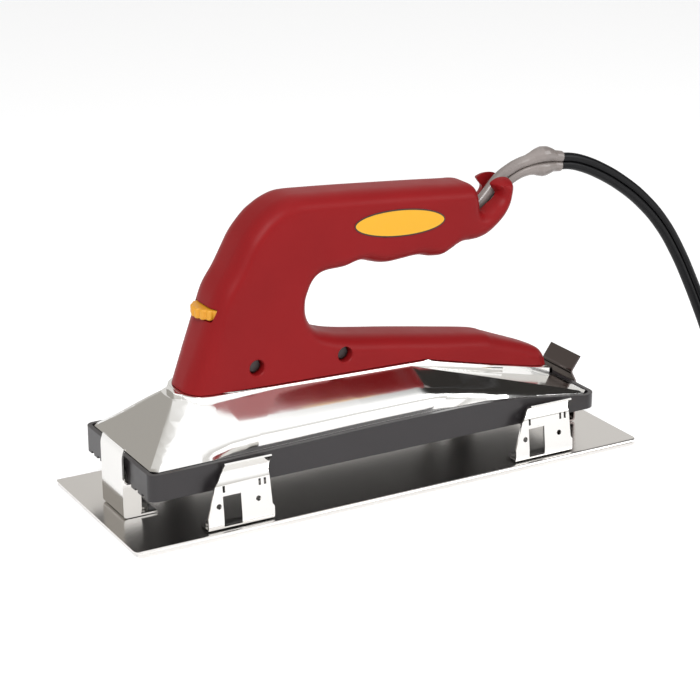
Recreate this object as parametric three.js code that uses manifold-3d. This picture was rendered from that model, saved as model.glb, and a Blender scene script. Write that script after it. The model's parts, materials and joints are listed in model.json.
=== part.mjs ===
// A heat-bond carpet seaming iron resting in its sprung tray, in millimetres.
// +Z is up, +X points to the cord end and -Y is the side that faces the viewer.
// The origin is on the floor under the middle of the tray.

import * as THREE from 'three';
import { mergeVertices } from 'three/addons/utils/BufferGeometryUtils.js';
import Module from 'manifold-3d';

const wasm = await Module();
wasm.setup();

// Clearances and cutting aids shared by the whole object
const seatGap = 0.3; // between pieces that touch
const boltGap = 0.3; // round a shank in its hole
const cutOverrun = 30; // how far a cutter runs past what it cuts
const weld = 1e-4;
const roundSides = 16;
const smallSides = 8;

// Sole plate: a cast tray-shaped plate with a low wall round it
const soleLength = 270.2;
const soleWidth = 83;
const soleFloor = 5;
const soleWall = 2.5;
const rimHeight = 16.3;
const soleFrontRadius = 4.5;
const soleRearRadius = 7;
const rimShares = [[0, 0.865], [0.15, 0.895], [0.3, 0.935], [0.45, 0.985], [0.58, 1], [0.7, 1],
  [0.79, 0.908], [0.863, 0.761], [0.93, 0.6], [1, 0.448]];
const grooveWidth = 3.2;
const grooveDepth = 1.5;
const groovePitch = 8;

// Stand: polished sheet tray with a front bracket, a rear latch and four side clips
const sheet = 1;
const traySideMargin = 12; // tray's edge beyond the sole's side
const trayEdgeDrop = 3.5;
const trayEdgeRadius = 2.6;
const trayCornerRadius = 4;
const noseSetback = 13.8; // tray's front edge to the sole's nose
const tailSetback = 20; // sole's tail to the tray's rear edge
const soleLift = 18.9; // air gap between tray and sole
const bendRadius = 1.6;
const rivetRadius = 1.6;
const rivetHeadRadius = 3;
const rivetHeadHeight = 1.1;

// Hood: bright pressed cover, hipped like a roof, with a boat-shaped platform
const hoodWall = 1.2;
const hoodHeight = 37.1; // platform's top above the sole's underside
const platformStep = 1.2;
const platformBorder = 1.8;
const platformLevelShare = 0.643; // share of the sole's length where the platform starts to fall
const platformTailShare = 0.6656; // fall from the bend to the sole's tail, as a share of the hood's height
const roofTailShare = 0.03; // height that is left at the roof's tail, as a share of the hood's
const hoodSkirtGap = 0.4; // eave above the rim

// Handle: two moulded half shells
const handleSetback = 32.4; // from the sole's nose to the handle's foot
const handleTailSetback = 9.2; // from the handle's tail to the sole's
const handleHeight = 100;
const handleWidth = 33;
const handleFillet = 7;
const filletShares = [0.1605, 0.031]; // most that the arms allow, of height times slope and of length
const shellWall = 3;
const cavityFillet = 2.5;
const handleLean = 0.34; // lean of the prow per height
const ribWall = 1.6;
const ribHeight = 6;
const bossRadius = 4.5;

// Screws that hold the two shells together
const screwRadius = 1.5;
const screwHeadRadius = 3.5;
const screwHeadHeight = 2.4;
const screwRecess = 7;
const screwRecessRadius = 4.2;

// Thermostat dial and spindle
const dialRadius = 10.7;
const dialThickness = 5.5;
const dialTeeth = 18;
const toothDepth = 1;
const dialHubRadius = 4.6;
const dialHubHeight = 5;
const spindleRadius = 2.4;
const dialHeightShare = 0.427;
const dialPlaceShare = 0.1085;

// Cord: flat twin lead with a two-lobed sleeve, a coil and a plug
const cordWidth = 9.4;
const cordThickness = 5.4;
const sleeveWidth = 11.4;
const sleeveThickness = 8.4;
const sleeveBulgeRadius = 8.6;
const sleeveBulgeLength = 14;
const sleeveCollarLength = 7;
const coilRadius = 60;
const coilPitch = 10.4;
const coilLayerStep = 11;
const coilTieLift = 1.6;
const stepsPerLoop = 24;

// Places worked out from the driving sizes
const trayLength = noseSetback + soleLength + tailSetback;
const trayWidth = soleWidth + 2 * traySideMargin;
const trayTop = trayEdgeDrop;
const soleFront = -trayLength / 2 + noseSetback;
const soleRear = soleFront + soleLength;
const soleBottom = trayTop + soleLift;
const soleTopFloor = soleBottom + soleFloor;
const hoodInset = soleWall + seatGap;
const hoodFront = soleFront + hoodInset;
const hoodRear = soleRear - hoodInset;
const hoodLength = hoodRear - hoodFront;
const hoodHalf = soleWidth / 2 - hoodInset;
const platformTop = soleBottom + hoodHeight;
const platformBend = soleFront + platformLevelShare * soleLength;
const platformFall = (platformTailShare * hoodHeight) / (soleRear - platformBend); // per length
const roofTop = platformTop - platformStep;
const roofTailTop = soleBottom + rimHeight * rimShares[rimShares.length - 1][1] + roofTailShare * hoodHeight;
const handleFront = soleFront + handleSetback;
const handleLength = soleLength - handleSetback - handleTailSetback;
const handleBase = platformTop + seatGap;
const handleHalf = handleWidth / 2;
const handleSlope = handleHeight / handleLength;
const handleRounding = Math.min(handleFillet, filletShares[0] * handleSlope * handleHeight, filletShares[1] * handleLength);

// Materials
const paint = (color, roughness, metalness) => new THREE.MeshStandardMaterial({ color, roughness, metalness });
const chrome = paint(0xd8d8d6, 0.08, 1);
const steel = paint(0xa9a9a6, 0.3, 1);
const castDark = paint(0x4a4746, 0.45, 0.6);
const redPlastic = paint(0x96201f, 0.4, 0);
const yellowPlastic = paint(0xe6a51c, 0.45, 0);
const blackRubber = paint(0x161616, 0.5, 0);
const greySleeve = paint(0x9c948f, 0.4, 0);
const ceramic = paint(0xe9e2d4, 0.8, 0);
const brass = paint(0xc39a4a, 0.3, 1);

const iron = new THREE.Group();

// Turn a closed geometry into a solid that can be joined and cut
function solid(geometry) {
  const bare = geometry.clone();
  bare.deleteAttribute('normal');
  bare.deleteAttribute('uv');
  const merged = mergeVertices(bare, weld);
  const corners = merged.attributes.position.array;
  const index = merged.index.array;
  const kept = [];
  for (let i = 0; i < index.length; i += 3) {
    const [a, b, c] = [index[i], index[i + 1], index[i + 2]];
    if (a !== b && b !== c && c !== a) kept.push(a, b, c);
  }
  const made = new wasm.Manifold(new wasm.Mesh({
    numProp: 3, vertProperties: new Float32Array(corners), triVerts: new Uint32Array(kept) }));
  if (made.volume() > 0) return made;
  for (let i = 0; i < kept.length; i += 3) [kept[i], kept[i + 1]] = [kept[i + 1], kept[i]];
  return new wasm.Manifold(new wasm.Mesh({
    numProp: 3, vertProperties: new Float32Array(corners), triVerts: new Uint32Array(kept) }));
}

// Name a solid, give it a material and add it to the object
function add(name, body, material) {
  const mesh = body.getMesh();
  const geometry = new THREE.BufferGeometry();
  geometry.setAttribute('position', new THREE.BufferAttribute(mesh.vertProperties, 3));
  geometry.setIndex(new THREE.BufferAttribute(mesh.triVerts, 1));
  const piece = new THREE.Mesh(geometry, material);
  piece.name = name;
  iron.add(piece);
}

const addEach = (names, bodies, material) => bodies.forEach((body, i) => add(names[i], body, material));
const union = (bodies) => bodies.reduce((whole, body) => whole.add(body));
const polygon = (points) => new THREE.Shape(points.map(([x, y]) => new THREE.Vector2(x, y)));

// Extrude an outline of Y and Z points along X
function alongX(shape, low, high) {
  const geometry = new THREE.ExtrudeGeometry(shape, { depth: high - low, bevelEnabled: false });
  geometry.rotateX(Math.PI / 2);
  geometry.rotateZ(Math.PI / 2);
  geometry.translate(low, 0, 0);
  return solid(geometry);
}

// Extrude an outline of X and Z points along Y, with rounded edges where a bevel is given
function alongY(shape, low, high, bevel = 0, inset = 0, bevelSegments = 3) {
  const geometry = new THREE.ExtrudeGeometry(shape, {
    depth: high - low - 2 * bevel, bevelEnabled: bevel > 0 || inset > 0,
    bevelThickness: bevel, bevelSize: bevel, bevelOffset: -bevel - inset, bevelSegments });
  geometry.rotateX(Math.PI / 2);
  geometry.translate(0, high - bevel, 0);
  return solid(geometry);
}

// Extrude an outline of X and Y points along Z
function alongZ(shape, low, high, bevel = 0, bevelSegments = 2) {
  const geometry = new THREE.ExtrudeGeometry(shape, {
    depth: high - low - 2 * bevel, bevelEnabled: bevel > 0, bevelThickness: bevel,
    bevelSize: bevel, bevelOffset: -bevel, bevelSegments, curveSegments: 6 });
  geometry.translate(0, 0, low + bevel);
  return solid(geometry);
}

// Box between two opposite corners
function block([x0, y0, z0], [x1, y1, z1]) {
  const geometry = new THREE.BoxGeometry(Math.abs(x1 - x0), Math.abs(y1 - y0), Math.abs(z1 - z0));
  geometry.translate((x0 + x1) / 2, (y0 + y1) / 2, (z0 + z1) / 2);
  return solid(geometry);
}

// Upright round bar, and a round bar that lies along Y
function postZ(x, y, radius, low, high, sides = roundSides) {
  const geometry = new THREE.CylinderGeometry(radius, radius, high - low, sides);
  geometry.rotateX(Math.PI / 2);
  geometry.translate(x, y, (low + high) / 2);
  return solid(geometry);
}
function barY(x, z, radius, low, high, sides = roundSides) {
  const geometry = new THREE.CylinderGeometry(radius, radius, Math.abs(high - low), sides);
  geometry.translate(x, (low + high) / 2, z);
  return solid(geometry);
}

// Solid tube of any section along a curve
function tube(curve, section, steps) {
  return solid(new THREE.ExtrudeGeometry(section, { steps, extrudePath: curve, bevelEnabled: false }));
}
const smoothCurve = (points) => new THREE.CatmullRomCurve3(points.map((p) => new THREE.Vector3(...p)));
function roundSection(radius, sides) {
  const corner = (i) => [radius * Math.cos((2 * Math.PI * i) / sides), radius * Math.sin((2 * Math.PI * i) / sides)];
  return polygon(Array.from({ length: sides }, (_, i) => corner(i)));
}

// Closed outline of a bent strip of sheet, from the line along its middle
function bentStrip(line, thickness) {
  const side = (sign) => line.map((point, i) => {
    const before = line[Math.max(i - 1, 0)];
    const after = line[Math.min(i + 1, line.length - 1)];
    const toBefore = point.clone().sub(before).normalize();
    const toAfter = after.clone().sub(point).normalize();
    const along = toBefore.add(toAfter).normalize();
    const reach = i > 0 && i < line.length - 1 ? along.dot(after.clone().sub(point).normalize()) : 1;
    return [point.x - (sign * along.y * thickness) / 2 / reach, point.y + (sign * along.x * thickness) / 2 / reach];
  });
  return polygon([...side(1), ...side(-1).reverse()]);
}

// Line through corner points, each corner rounded by its radius
function roundedLine(points, radius, cuts = 3) {
  const line = [new THREE.Vector2(...points[0])];
  for (let i = 1; i < points.length - 1; i++) {
    const corner = new THREE.Vector2(...points[i]);
    const back = new THREE.Vector2(...points[i - 1]).sub(corner);
    const ahead = new THREE.Vector2(...points[i + 1]).sub(corner);
    const reach = Math.min(radius, back.length() / 2, ahead.length() / 2);
    const bend = new THREE.QuadraticBezierCurve(
      corner.clone().add(back.setLength(reach)), corner, corner.clone().add(ahead.setLength(reach)));
    line.push(...bend.getPoints(cuts));
  }
  line.push(new THREE.Vector2(...points[points.length - 1]));
  return line;
}

const spline = (points, cuts) => new THREE.SplineCurve(points).getPoints(cuts * (points.length - 1));

// Height on a line of points at a place along it
function heightOn(line, x) {
  const next = Math.max(1, line.findIndex((point) => point.x >= x));
  const [a, b] = [line[next - 1], line[next]];
  return a.y + ((b.y - a.y) * (x - a.x)) / (b.x - a.x);
}

// Plan outline of a long plate with rounded corners
function plate(front, rear, half, frontRadius, rearRadius) {
  const shape = new THREE.Shape();
  shape.moveTo(front + frontRadius, -half);
  shape.lineTo(rear - rearRadius, -half);
  shape.absarc(rear - rearRadius, -half + rearRadius, rearRadius, -Math.PI / 2, 0);
  shape.lineTo(rear, half - rearRadius);
  shape.absarc(rear - rearRadius, half - rearRadius, rearRadius, 0, Math.PI / 2);
  shape.lineTo(front + frontRadius, half);
  shape.absarc(front + frontRadius, half - frontRadius, frontRadius, Math.PI / 2, Math.PI);
  shape.lineTo(front, -half + frontRadius);
  shape.absarc(front + frontRadius, -half + frontRadius, frontRadius, Math.PI, 1.5 * Math.PI);
  return shape;
}

// Sheet tray: flat plate whose long edges roll down to the floor
function makeTray() {
  const half = trayWidth / 2;
  const edge = (sign) => roundedLine([
    [sign * (half - sheet / 2), 0],
    [sign * (half - sheet / 2), trayTop - sheet / 2],
    [0, trayTop - sheet / 2]], trayEdgeRadius, 4);
  const line = [...edge(-1), ...edge(1).reverse().slice(1)];
  const front = -trayLength / 2;
  const rolled = alongX(bentStrip(line, sheet), front, -front);
  const corners = alongZ(plate(front, -front, half, trayCornerRadius, trayCornerRadius), -cutOverrun, cutOverrun);
  return rolled.intersect(corners);
}

// Rivet through the tray and a foot that lies on it
function rivet(x, y) {
  const footTop = trayTop + seatGap + sheet;
  const lowHead = trayTop - sheet - seatGap;
  const head = postZ(x, y, rivetHeadRadius, footTop + seatGap, footTop + seatGap + rivetHeadHeight, smallSides);
  const shank = postZ(x, y, rivetRadius, lowHead - rivetHeadHeight / 2, footTop + rivetHeadHeight, smallSides);
  const tail = postZ(x, y, rivetHeadRadius, lowHead - rivetHeadHeight, lowHead, smallSides);
  return union([head, shank, tail]);
}
const rivetHole = (x, y) => postZ(x, y, rivetRadius + boltGap, -cutOverrun, trayTop + cutOverrun / 6, smallSides);

// Line on top of the rim, from nose to tail
const rimLine = spline(rimShares.map(([share, height]) =>
  new THREE.Vector2(soleFront + share * soleLength, soleBottom + height * rimHeight)), 2);

// Mounting bolts run from the handle's foot into bosses on the sole
const boltShares = [0.2708, 0.5509]; // of the handle's length
const boltXs = boltShares.map((share) => handleFront + share * handleLength);
const boltRadius = 2.4;
const boltHeadRadius = 4.6;
const boltHeadHeight = 3.4;
const boltBossRadius = 6.5;
const boltBossHeight = 12;
const boltDepth = 10;
const clampShares = [0.456, 0.734];
const clampXs = clampShares.map((share) => soleFront + share * soleLength);
const clampBossRadius = 4;

// Heating element: hairpin tube that lies on the sole
const elementRadius = 4;
const elementSpread = 20;
const elementNoseGap = 5.2; // inside the hood's nose
const elementEndShare = 0.793;
const elementPinRadius = 1.6;
const elementPinHeight = 6.5;
const elementZ = soleTopFloor + seatGap + elementRadius;
const elementBendX = hoodFront + hoodWall + elementNoseGap + elementRadius + elementSpread;
const elementEndX = soleFront + elementEndShare * soleLength;
const clampZ = elementZ + elementRadius + seatGap;
const clampWidth = 10;
const clampSheet = 1.5;
const clampReach = elementSpread + elementRadius + 3 * sheet;

// Thermostat, under the dial
const dialX = handleFront + dialPlaceShare * handleLength;
const dialZ = handleBase + dialHeightShare * handleHeight;
const thermostatLength = 20;
const thermostatWidth = 15;
const thermostatHeight = 9;
const thermostatFoot = 2;
const thermostatFootLength = 34;
const thermostatBushRadius = 5;
const thermostatBushHeight = 10;
const bladeBossGap = 4.6; // blade's tip clear of the front bolt's boss
const bladeLength = boltXs[0] - boltBossRadius - bladeBossGap - dialX;
const bladeWidth = 6;
const bladeThickness = 0.8;
const tabWidth = 4;
const tabHeight = 4.5;
const tabSpread = 5;
const thermostatFloor = soleTopFloor + seatGap;
const thermostatTop = thermostatFloor + thermostatFoot + thermostatHeight;
const smallScrewRadius = 1.4;
const smallScrewHeadRadius = 2.8;
const smallScrewHead = 1.8;
const smallScrewDepth = 3.4;
const thermostatScrewXs = [-1, 1].map((sign) => dialX + sign * (thermostatFootLength / 2 - 2 * smallScrewRadius));

function makeSole() {
  const half = soleWidth / 2;
  const top = rimLine[0].y + cutOverrun;
  const outside = alongZ(plate(soleFront, soleRear, half, soleFrontRadius, soleRearRadius), soleBottom, top);
  const underRim = alongY(polygon([
    [soleFront - cutOverrun, soleBottom - cutOverrun],
    ...rimLine.map((point, i) => {
      if (i === 0) return [point.x - cutOverrun, point.y];
      return [i === rimLine.length - 1 ? point.x + cutOverrun : point.x, point.y];
    }),
    [soleRear + cutOverrun, soleBottom - cutOverrun]]), -half - cutOverrun, half + cutOverrun);
  const pocket = alongZ(plate(soleFront + soleWall, soleRear - soleWall, half - soleWall,
    soleFrontRadius - soleWall, soleRearRadius - soleWall), soleTopFloor, top + cutOverrun);
  let body = outside.intersect(underRim).subtract(pocket);
  for (const x of boltXs) body = body.add(postZ(x, 0, boltBossRadius, soleTopFloor - soleFloor / 2, soleTopFloor + boltBossHeight));
  for (const x of clampXs) body = body.add(postZ(x, 0, clampBossRadius, soleTopFloor - soleFloor / 2, clampZ - seatGap));
  for (const x of boltXs) {
    body = body.subtract(postZ(x, 0, boltRadius + boltGap,
      soleTopFloor + boltBossHeight - boltDepth - seatGap, soleTopFloor + boltBossHeight + cutOverrun));
  }
  for (const x of clampXs) {
    body = body.subtract(postZ(x, 0, smallScrewRadius + boltGap, clampZ - 2 * smallScrewDepth, clampZ + cutOverrun, smallSides));
  }
  for (const x of thermostatScrewXs) {
    body = body.subtract(postZ(x, 0, smallScrewRadius + boltGap, soleTopFloor - smallScrewDepth, soleTopFloor + cutOverrun, smallSides));
  }
  const grooves = Math.floor((half - 2 * soleWall) / groovePitch);
  for (let i = -grooves; i <= grooves; i++) {
    body = body.subtract(block(
      [soleFront - cutOverrun, i * groovePitch - grooveWidth / 2, soleBottom - cutOverrun],
      [soleRear + cutOverrun, i * groovePitch + grooveWidth / 2, soleBottom + grooveDepth]));
  }
  return body;
}

// Hood: rings of stations along one side, mirrored across the middle
const stationShares = [
  // eave along, eave out, crease along, crease out
  [0, 0, 0.094, 0], [0, 0.91, 0.0955, 0.13], [0.012, 1, 0.099, 0.19], [0.1, 1, 0.125, 0.32],
  [0.2, 1, 0.18, 0.41], [0.33, 1, 0.3, 0.48], [0.46, 1, 0.44, 0.49], [0.6, 1, 0.606, 0.49],
  [0.75, 1, 0.75, 0.65], [0.88, 1, 0.88, 0.83], [0.982, 1, 0.972, 0.955], [1, 0.88, 0.988, 0.86], [1, 0, 0.988, 0]];
const roofBendShare = 0.606;

function loft(rings) {
  const count = rings[0].length;
  const geometry = new THREE.BufferGeometry();
  geometry.setAttribute('position', new THREE.Float32BufferAttribute(rings.flat().flat(), 3));
  const faces = [];
  for (let r = 0; r < rings.length - 1; r++) {
    for (let i = 0; i < count; i++) {
      const j = (i + 1) % count;
      const [a, b, c, d] = [r * count + i, r * count + j, (r + 1) * count + j, (r + 1) * count + i];
      faces.push(a, b, c, a, c, d);
    }
  }
  const last = (rings.length - 1) * count;
  for (let i = 1; i < count / 2; i++) {
    const [a, b, c, d] = [i, i + 1, count - i - 1, count - i];
    faces.push(a, d, b, last + a, last + b, last + d);
    if (b !== c) faces.push(b, d, c, last + b, last + c, last + d);
  }
  faces.push(0, count - 1, 1, last, last + 1, last + count - 1);
  geometry.setIndex(faces);
  return solid(geometry);
}

const mirrored = (half) => [...half, ...half.slice(1, -1).reverse().map(([x, y, z]) => [x, -y, z])];

function roof(inset) {
  const middle = hoodFront + hoodLength / 2;
  const inwards = (x) => x + Math.sign(middle - x) * inset;
  const eaves = stationShares.map(([along, out]) => {
    const x = hoodFront + along * hoodLength;
    const atEnd = along < stationShares[2][0] + weld || along > stationShares[10][0] - weld;
    const z = heightOn(rimLine, x) + hoodSkirtGap - inset / 2;
    return [atEnd ? inwards(x) : x, -Math.max(0, out * hoodHalf - inset), z];
  });
  const creases = stationShares.map(([, , along, out]) => {
    const x = hoodFront + along * hoodLength;
    const bend = hoodFront + roofBendShare * hoodLength;
    const fall = (roofTop - roofTailTop) / (hoodRear - bend);
    const z = x < bend ? roofTop : roofTop - (x - bend) * fall;
    return [x + (x < middle ? inset / 2 : -inset / 2), -Math.max(0, out * hoodHalf - inset / 2), z - inset];
  });
  const skirt = eaves.map(([x, y]) => [x, y, soleTopFloor + seatGap - (inset > 0 ? cutOverrun : 0)]);
  return loft([mirrored(skirt), mirrored(eaves), mirrored(creases)]);
}

// Plan of the handle's foot: a prow that widens, a long waist and a narrower tail
const planShares = [[0, 0.1], [0.003, 0.24], [0.011, 0.4], [0.037, 0.6], [0.079, 0.78], [0.14, 0.93], [0.219, 0.99],
  [0.33, 1], [0.65, 1], [0.8, 0.88], [0.93, 0.66], [0.985, 0.52], [1.002, 0.36]];

function footPlan(border) {
  const side = planShares.map(([along, out]) => {
    const grow = along < planShares[4][0] ? -border : along > planShares[10][0] ? border : 0;
    return [handleFront + along * handleLength + grow, Math.max(out * handleHalf + border, seatGap)];
  });
  return polygon([...side, ...side.slice().reverse().map(([x, y]) => [x, -y])]);
}

// Outline under a line that runs level, then falls to the tail
function underPlatform(lift, low) {
  const far = soleRear + cutOverrun;
  const near = soleFront - cutOverrun;
  return polygon([
    [near, low], [near, platformTop + lift], [platformBend, platformTop + lift],
    [far, platformTop + lift - (far - platformBend) * platformFall], [far, low]]);
}

const leadHoleRadius = 4.6;
const leadHoleShare = 0.2129; // of the handle's length
const leadHoleX = handleFront + leadHoleShare * handleLength;
const spindleHoleRadius = spindleRadius + 2 * sheet;

function platform(border, lift) {
  const plan = alongZ(footPlan(border), soleTopFloor, platformTop + cutOverrun);
  return plan.intersect(alongY(underPlatform(lift, soleBottom - cutOverrun), -soleWidth, soleWidth));
}

function makeHood() {
  let shell = roof(0).add(platform(platformBorder, 0).intersect(roofBand()));
  shell = shell.subtract(roof(hoodWall)).subtract(platform(platformBorder - hoodWall, -hoodWall));
  for (const x of boltXs) shell = shell.subtract(postZ(x, 0, boltRadius + boltGap, soleTopFloor, platformTop + cutOverrun));
  shell = shell.subtract(postZ(leadHoleX, 0, leadHoleRadius, soleTopFloor, platformTop + cutOverrun));
  return shell.subtract(postZ(dialX, 0, spindleHoleRadius, soleTopFloor, platformTop + cutOverrun));
}

// Keeps the platform to the space above the rim
function roofBand() {
  return block([hoodFront, -hoodHalf, soleTopFloor + seatGap], [hoodRear, hoodHalf, platformTop + cutOverrun]);
}

// Side outline of the handle, as shares of its length and height
const armShares = [[1, -0.253], [0.997, -0.208], [0.983, -0.156], [0.964, -0.11], [0.935, -0.078], [0.892, -0.049],
  [0.813, -0.006], [0.699, 0.058], [0.614, 0.09], [0.485, 0.142], [0.397, 0.176], [0.358, 0.196], [0.327, 0.242],
  [0.311, 0.322], [0.309, 0.397], [0.314, 0.462], [0.334, 0.515], [0.364, 0.546], [0.402, 0.551]];
const gripShares = [[0.447, 0.566], [0.47, 0.574], [0.499, 0.555], [0.528, 0.533], [0.555, 0.536], [0.592, 0.557],
  [0.621, 0.542], [0.645, 0.523], [0.668, 0.524], [0.704, 0.563], [0.736, 0.588], [0.77, 0.59], [0.81, 0.645],
  [0.818, 0.72], [0.795, 0.79], [0.766, 0.87]];
const notchShares = [[0.743, 0.92]];
const topShares = [[0.61, 0.947], [0.45, 0.975], [0.347, 0.994], [0.283, 1], [0.24, 0.992], [0.207, 0.964],
  [0.185, 0.923], [0.164, 0.861], [0.138, 0.764], [0.112, 0.651], [0.085, 0.532], [0.06, 0.41], [0.047, 0.319],
  [0.028, 0.207], [0.009, 0.09], [0, 0.012]];
const prongShares = [[0.795, 0.742], [0.814, 0.79], [0.826, 0.838], [0.816, 0.884], [0.836, 0.915],
  [0.861, 0.89], [0.871, 0.84], [0.869, 0.782], [0.85, 0.702], [0.822, 0.642], [0.795, 0.662]];
const onHandle = ([along, up]) => new THREE.Vector2(handleFront + along * handleLength, handleBase + up * handleHeight);
const footDepth = 0.4 * handleHeight; // how far the outline runs on below the foot before it is trimmed

function handleOutline(cuts) {
  const lower = spline([...armShares, ...gripShares].map(onHandle), cuts);
  const upper = spline(topShares.map(onHandle), cuts);
  const tail = onHandle(armShares[0]);
  const foot = onHandle(topShares[topShares.length - 1]);
  return new THREE.Shape([
    new THREE.Vector2(foot.x, foot.y - footDepth), new THREE.Vector2(tail.x, foot.y - footDepth),
    ...lower, ...notchShares.map(onHandle), ...upper]);
}

// Prow-shaped bar that leans back with the handle's front edge
function prow(border) {
  const geometry = new THREE.ExtrudeGeometry(footPlan(border), {
    depth: handleHeight + 2 * footDepth, bevelEnabled: false });
  geometry.translate(0, 0, -footDepth);
  geometry.applyMatrix4(new THREE.Matrix4().makeShear(0, 0, 0, 0, handleLean, 0));
  geometry.translate(0, 0, handleBase);
  return solid(geometry);
}

// Sleeve and cord leave the grip on one curve in the middle plane
const sleeveShares = [[0.7165, 0.704], [0.7515, 0.7], [0.7909, 0.716], [0.8259, 0.78], [0.8631, 0.869],
  [0.9178, 0.931], [0.9834, 0.95], [1.0359, 0.937]];
const sleevePoints = sleeveShares.map(onHandle).map(({ x, y }) => [x, 0, y]);
const sleeveCurve = smoothCurve(sleevePoints);

// Flat twin section: two lobes with a groove between them, thin along the first axis
const lobeShares = [[0.72, 0], [1, 0.35], [0.86, 0.8], [0, 1], [-0.86, 0.8], [-1, 0.35],
  [-0.72, 0], [-1, -0.35], [-0.86, -0.8], [0, -1], [0.86, -0.8], [1, -0.35]];
function twinSection(thin, wide, grow = 0, middle = 0) {
  return polygon(lobeShares.map(([x, y]) => [x * (thin / 2 + grow), middle + y * (wide / 2 + grow)]));
}

// Six-sided section, pointed at the two ends of its second axis
const hexSection = (thin, wide) => polygon([[0, wide / 2], [-thin / 2, wide / 4], [-thin / 2, -wide / 4],
  [0, -wide / 2], [thin / 2, -wide / 4], [thin / 2, wide / 4]]);

const prongClearance = 2;
const prongWidth = 8.5;
const prongInside = sleeveThickness / 2 + prongClearance;
const prongOutside = prongInside + prongWidth;
const prongFillet = 2;
const prongFilletShares = [0.0205, 0.009]; // most that the hook allows, of the same two sizes
const prongRounding = Math.min(prongFillet, prongFilletShares[0] * handleHeight, prongFilletShares[1] * handleLength);
const clampPlateShare = 0.664;
const clampPlateX = handleFront + clampPlateShare * handleLength;
const cordSeatZ = sleevePoints[0][2];
const clampPostSpread = 8.4;
const clampPostRadius = 3.4;
const bossEnd = handleHalf - shellWall * 0.7; // bosses and ribs end inside the wall
const gripScrewShares = [[0.176, 0.128], [0.402, 0.111], [0.507, 0.76]];
const gripScrews = gripScrewShares.map(onHandle);
const ribShares = [[0.3, 0.62, 0.9], [0.4, 0.62, 0.9], [0.62, 0.62, 0.88], [0.17, 0.5, 0.8]];
const cordSeatRadius = 5.8;
const clampScrewLength = 11;


// Plate that presses the cord against its seat, and the room that it takes
const clampPlateLow = -cordThickness / 2 - seatGap;
const clampPlateReach = clampPostSpread + clampPostRadius;
const clampScrewZs = [-1, 1].map((sign) => cordSeatZ + sign * clampPostSpread);
const clampPlate = (grow) => block(
  [clampPlateX - cordSeatRadius - grow, clampPlateLow - clampSheet - grow, cordSeatZ - clampPlateReach - grow],
  [clampPlateX + cordSeatRadius + grow, clampPlateLow + grow, cordSeatZ + clampPlateReach + grow]);

function makeShells() {
  const trim = (lift) => alongY(underPlatform(lift, soleBottom - cutOverrun), -soleWidth, soleWidth);
  let outside = alongY(handleOutline(2), -handleHalf, handleHalf, handleRounding).intersect(prow(0));
  const hook = new THREE.Shape(spline(prongShares.map(onHandle), 2));
  outside = outside.subtract(tube(sleeveCurve, twinSection(sleeveThickness, sleeveWidth, 2 * seatGap), 24));
  outside = outside.add(alongY(hook, -prongOutside, -prongInside, prongRounding, 0, 2));
  outside = outside.add(alongY(hook, prongInside, prongOutside, prongRounding, 0, 2));
  outside = outside.subtract(tube(sleeveCurve, twinSection(sleeveThickness, sleeveWidth, 2 * seatGap), 24));
  outside = outside.subtract(trim(seatGap));

  const cavity = alongY(handleOutline(1), -handleHalf + shellWall, handleHalf - shellWall,
    Math.min(cavityFillet, handleRounding - shellWall), shellWall, 1)
    .intersect(prow(-shellWall)).subtract(trim(seatGap + shellWall));
  let inside = [
    ...gripScrews.map(({ x, y }) => barY(x, y, bossRadius, -bossEnd, bossEnd)),
    ...[-1, 1].map((sign) => barY(clampPlateX, cordSeatZ + sign * clampPostSpread, clampPostRadius,
      cordThickness / 2 + seatGap, bossEnd, smallSides)),
    barY(clampPlateX, cordSeatZ, cordSeatRadius, cordThickness / 2 + seatGap, bossEnd, smallSides),
    ...ribShares.flatMap(([along, low, high]) => {
      const [foot, head] = [onHandle([along, low]), onHandle([along, high])];
      return [-1, 1].map((sign) => {
        const wall = sign * bossEnd;
        const edge = sign * (handleHalf - shellWall - ribHeight);
        return block([foot.x - ribWall / 2, Math.min(wall, edge), foot.y], [foot.x + ribWall / 2, Math.max(wall, edge), head.y]);
      });
    })];
  let shells = outside.subtract(cavity).add(union(inside).intersect(outside));
  for (const { x, y } of gripScrews) {
    shells = shells.subtract(barY(x, y, screwRecessRadius, -handleHalf - cutOverrun, -handleHalf + screwRecess));
    shells = shells.subtract(barY(x, y, screwRadius + boltGap, -handleHalf, handleHalf - shellWall, smallSides));
  }
  for (const sign of [-1, 1]) {
    shells = shells.subtract(barY(clampPlateX, cordSeatZ + sign * clampPostSpread, smallScrewRadius + boltGap,
      -handleHalf + shellWall, cordThickness / 2 + clampScrewLength, smallSides));
  }
  const headRoom = handleBase + shellWall + seatGap;
  for (const x of boltXs) {
    shells = shells.subtract(postZ(x, 0, boltRadius + boltGap, soleBottom, headRoom));
    shells = shells.subtract(postZ(x, 0, boltHeadRadius + 2 * boltGap, headRoom, headRoom + boltHeadHeight + seatGap));
  }
  shells = shells.subtract(postZ(leadHoleX, 0, leadHoleRadius, soleBottom, handleBase + shellWall + seatGap));
  shells = shells.subtract(postZ(dialX, 0, spindleHoleRadius, soleBottom, handleBase + shellWall + seatGap));
  shells = shells.subtract(postZ(dialX, 0, dialRadius + 2 * seatGap, dialZ - dialThickness / 2 - 2 * seatGap,
    dialZ + dialThickness / 2 + 2 * seatGap, 2 * roundSides));
  shells = shells.subtract(postZ(dialX, 0, dialHubRadius + 2 * seatGap,
    dialZ - dialThickness / 2 - dialHubHeight - 2 * seatGap, dialZ));
  shells = shells.subtract(clampPlate(seatGap));
  const halfSpace = (sign) => {
    const [low, high] = sign < 0 ? [-soleWidth, -seatGap / 2] : [seatGap / 2, soleWidth];
    return block([-trayLength, low, 0], [trayLength, high, handleHeight * 2]);
  };
  return [-1, 1].map((sign) => shells.intersect(halfSpace(sign)));
}

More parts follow.
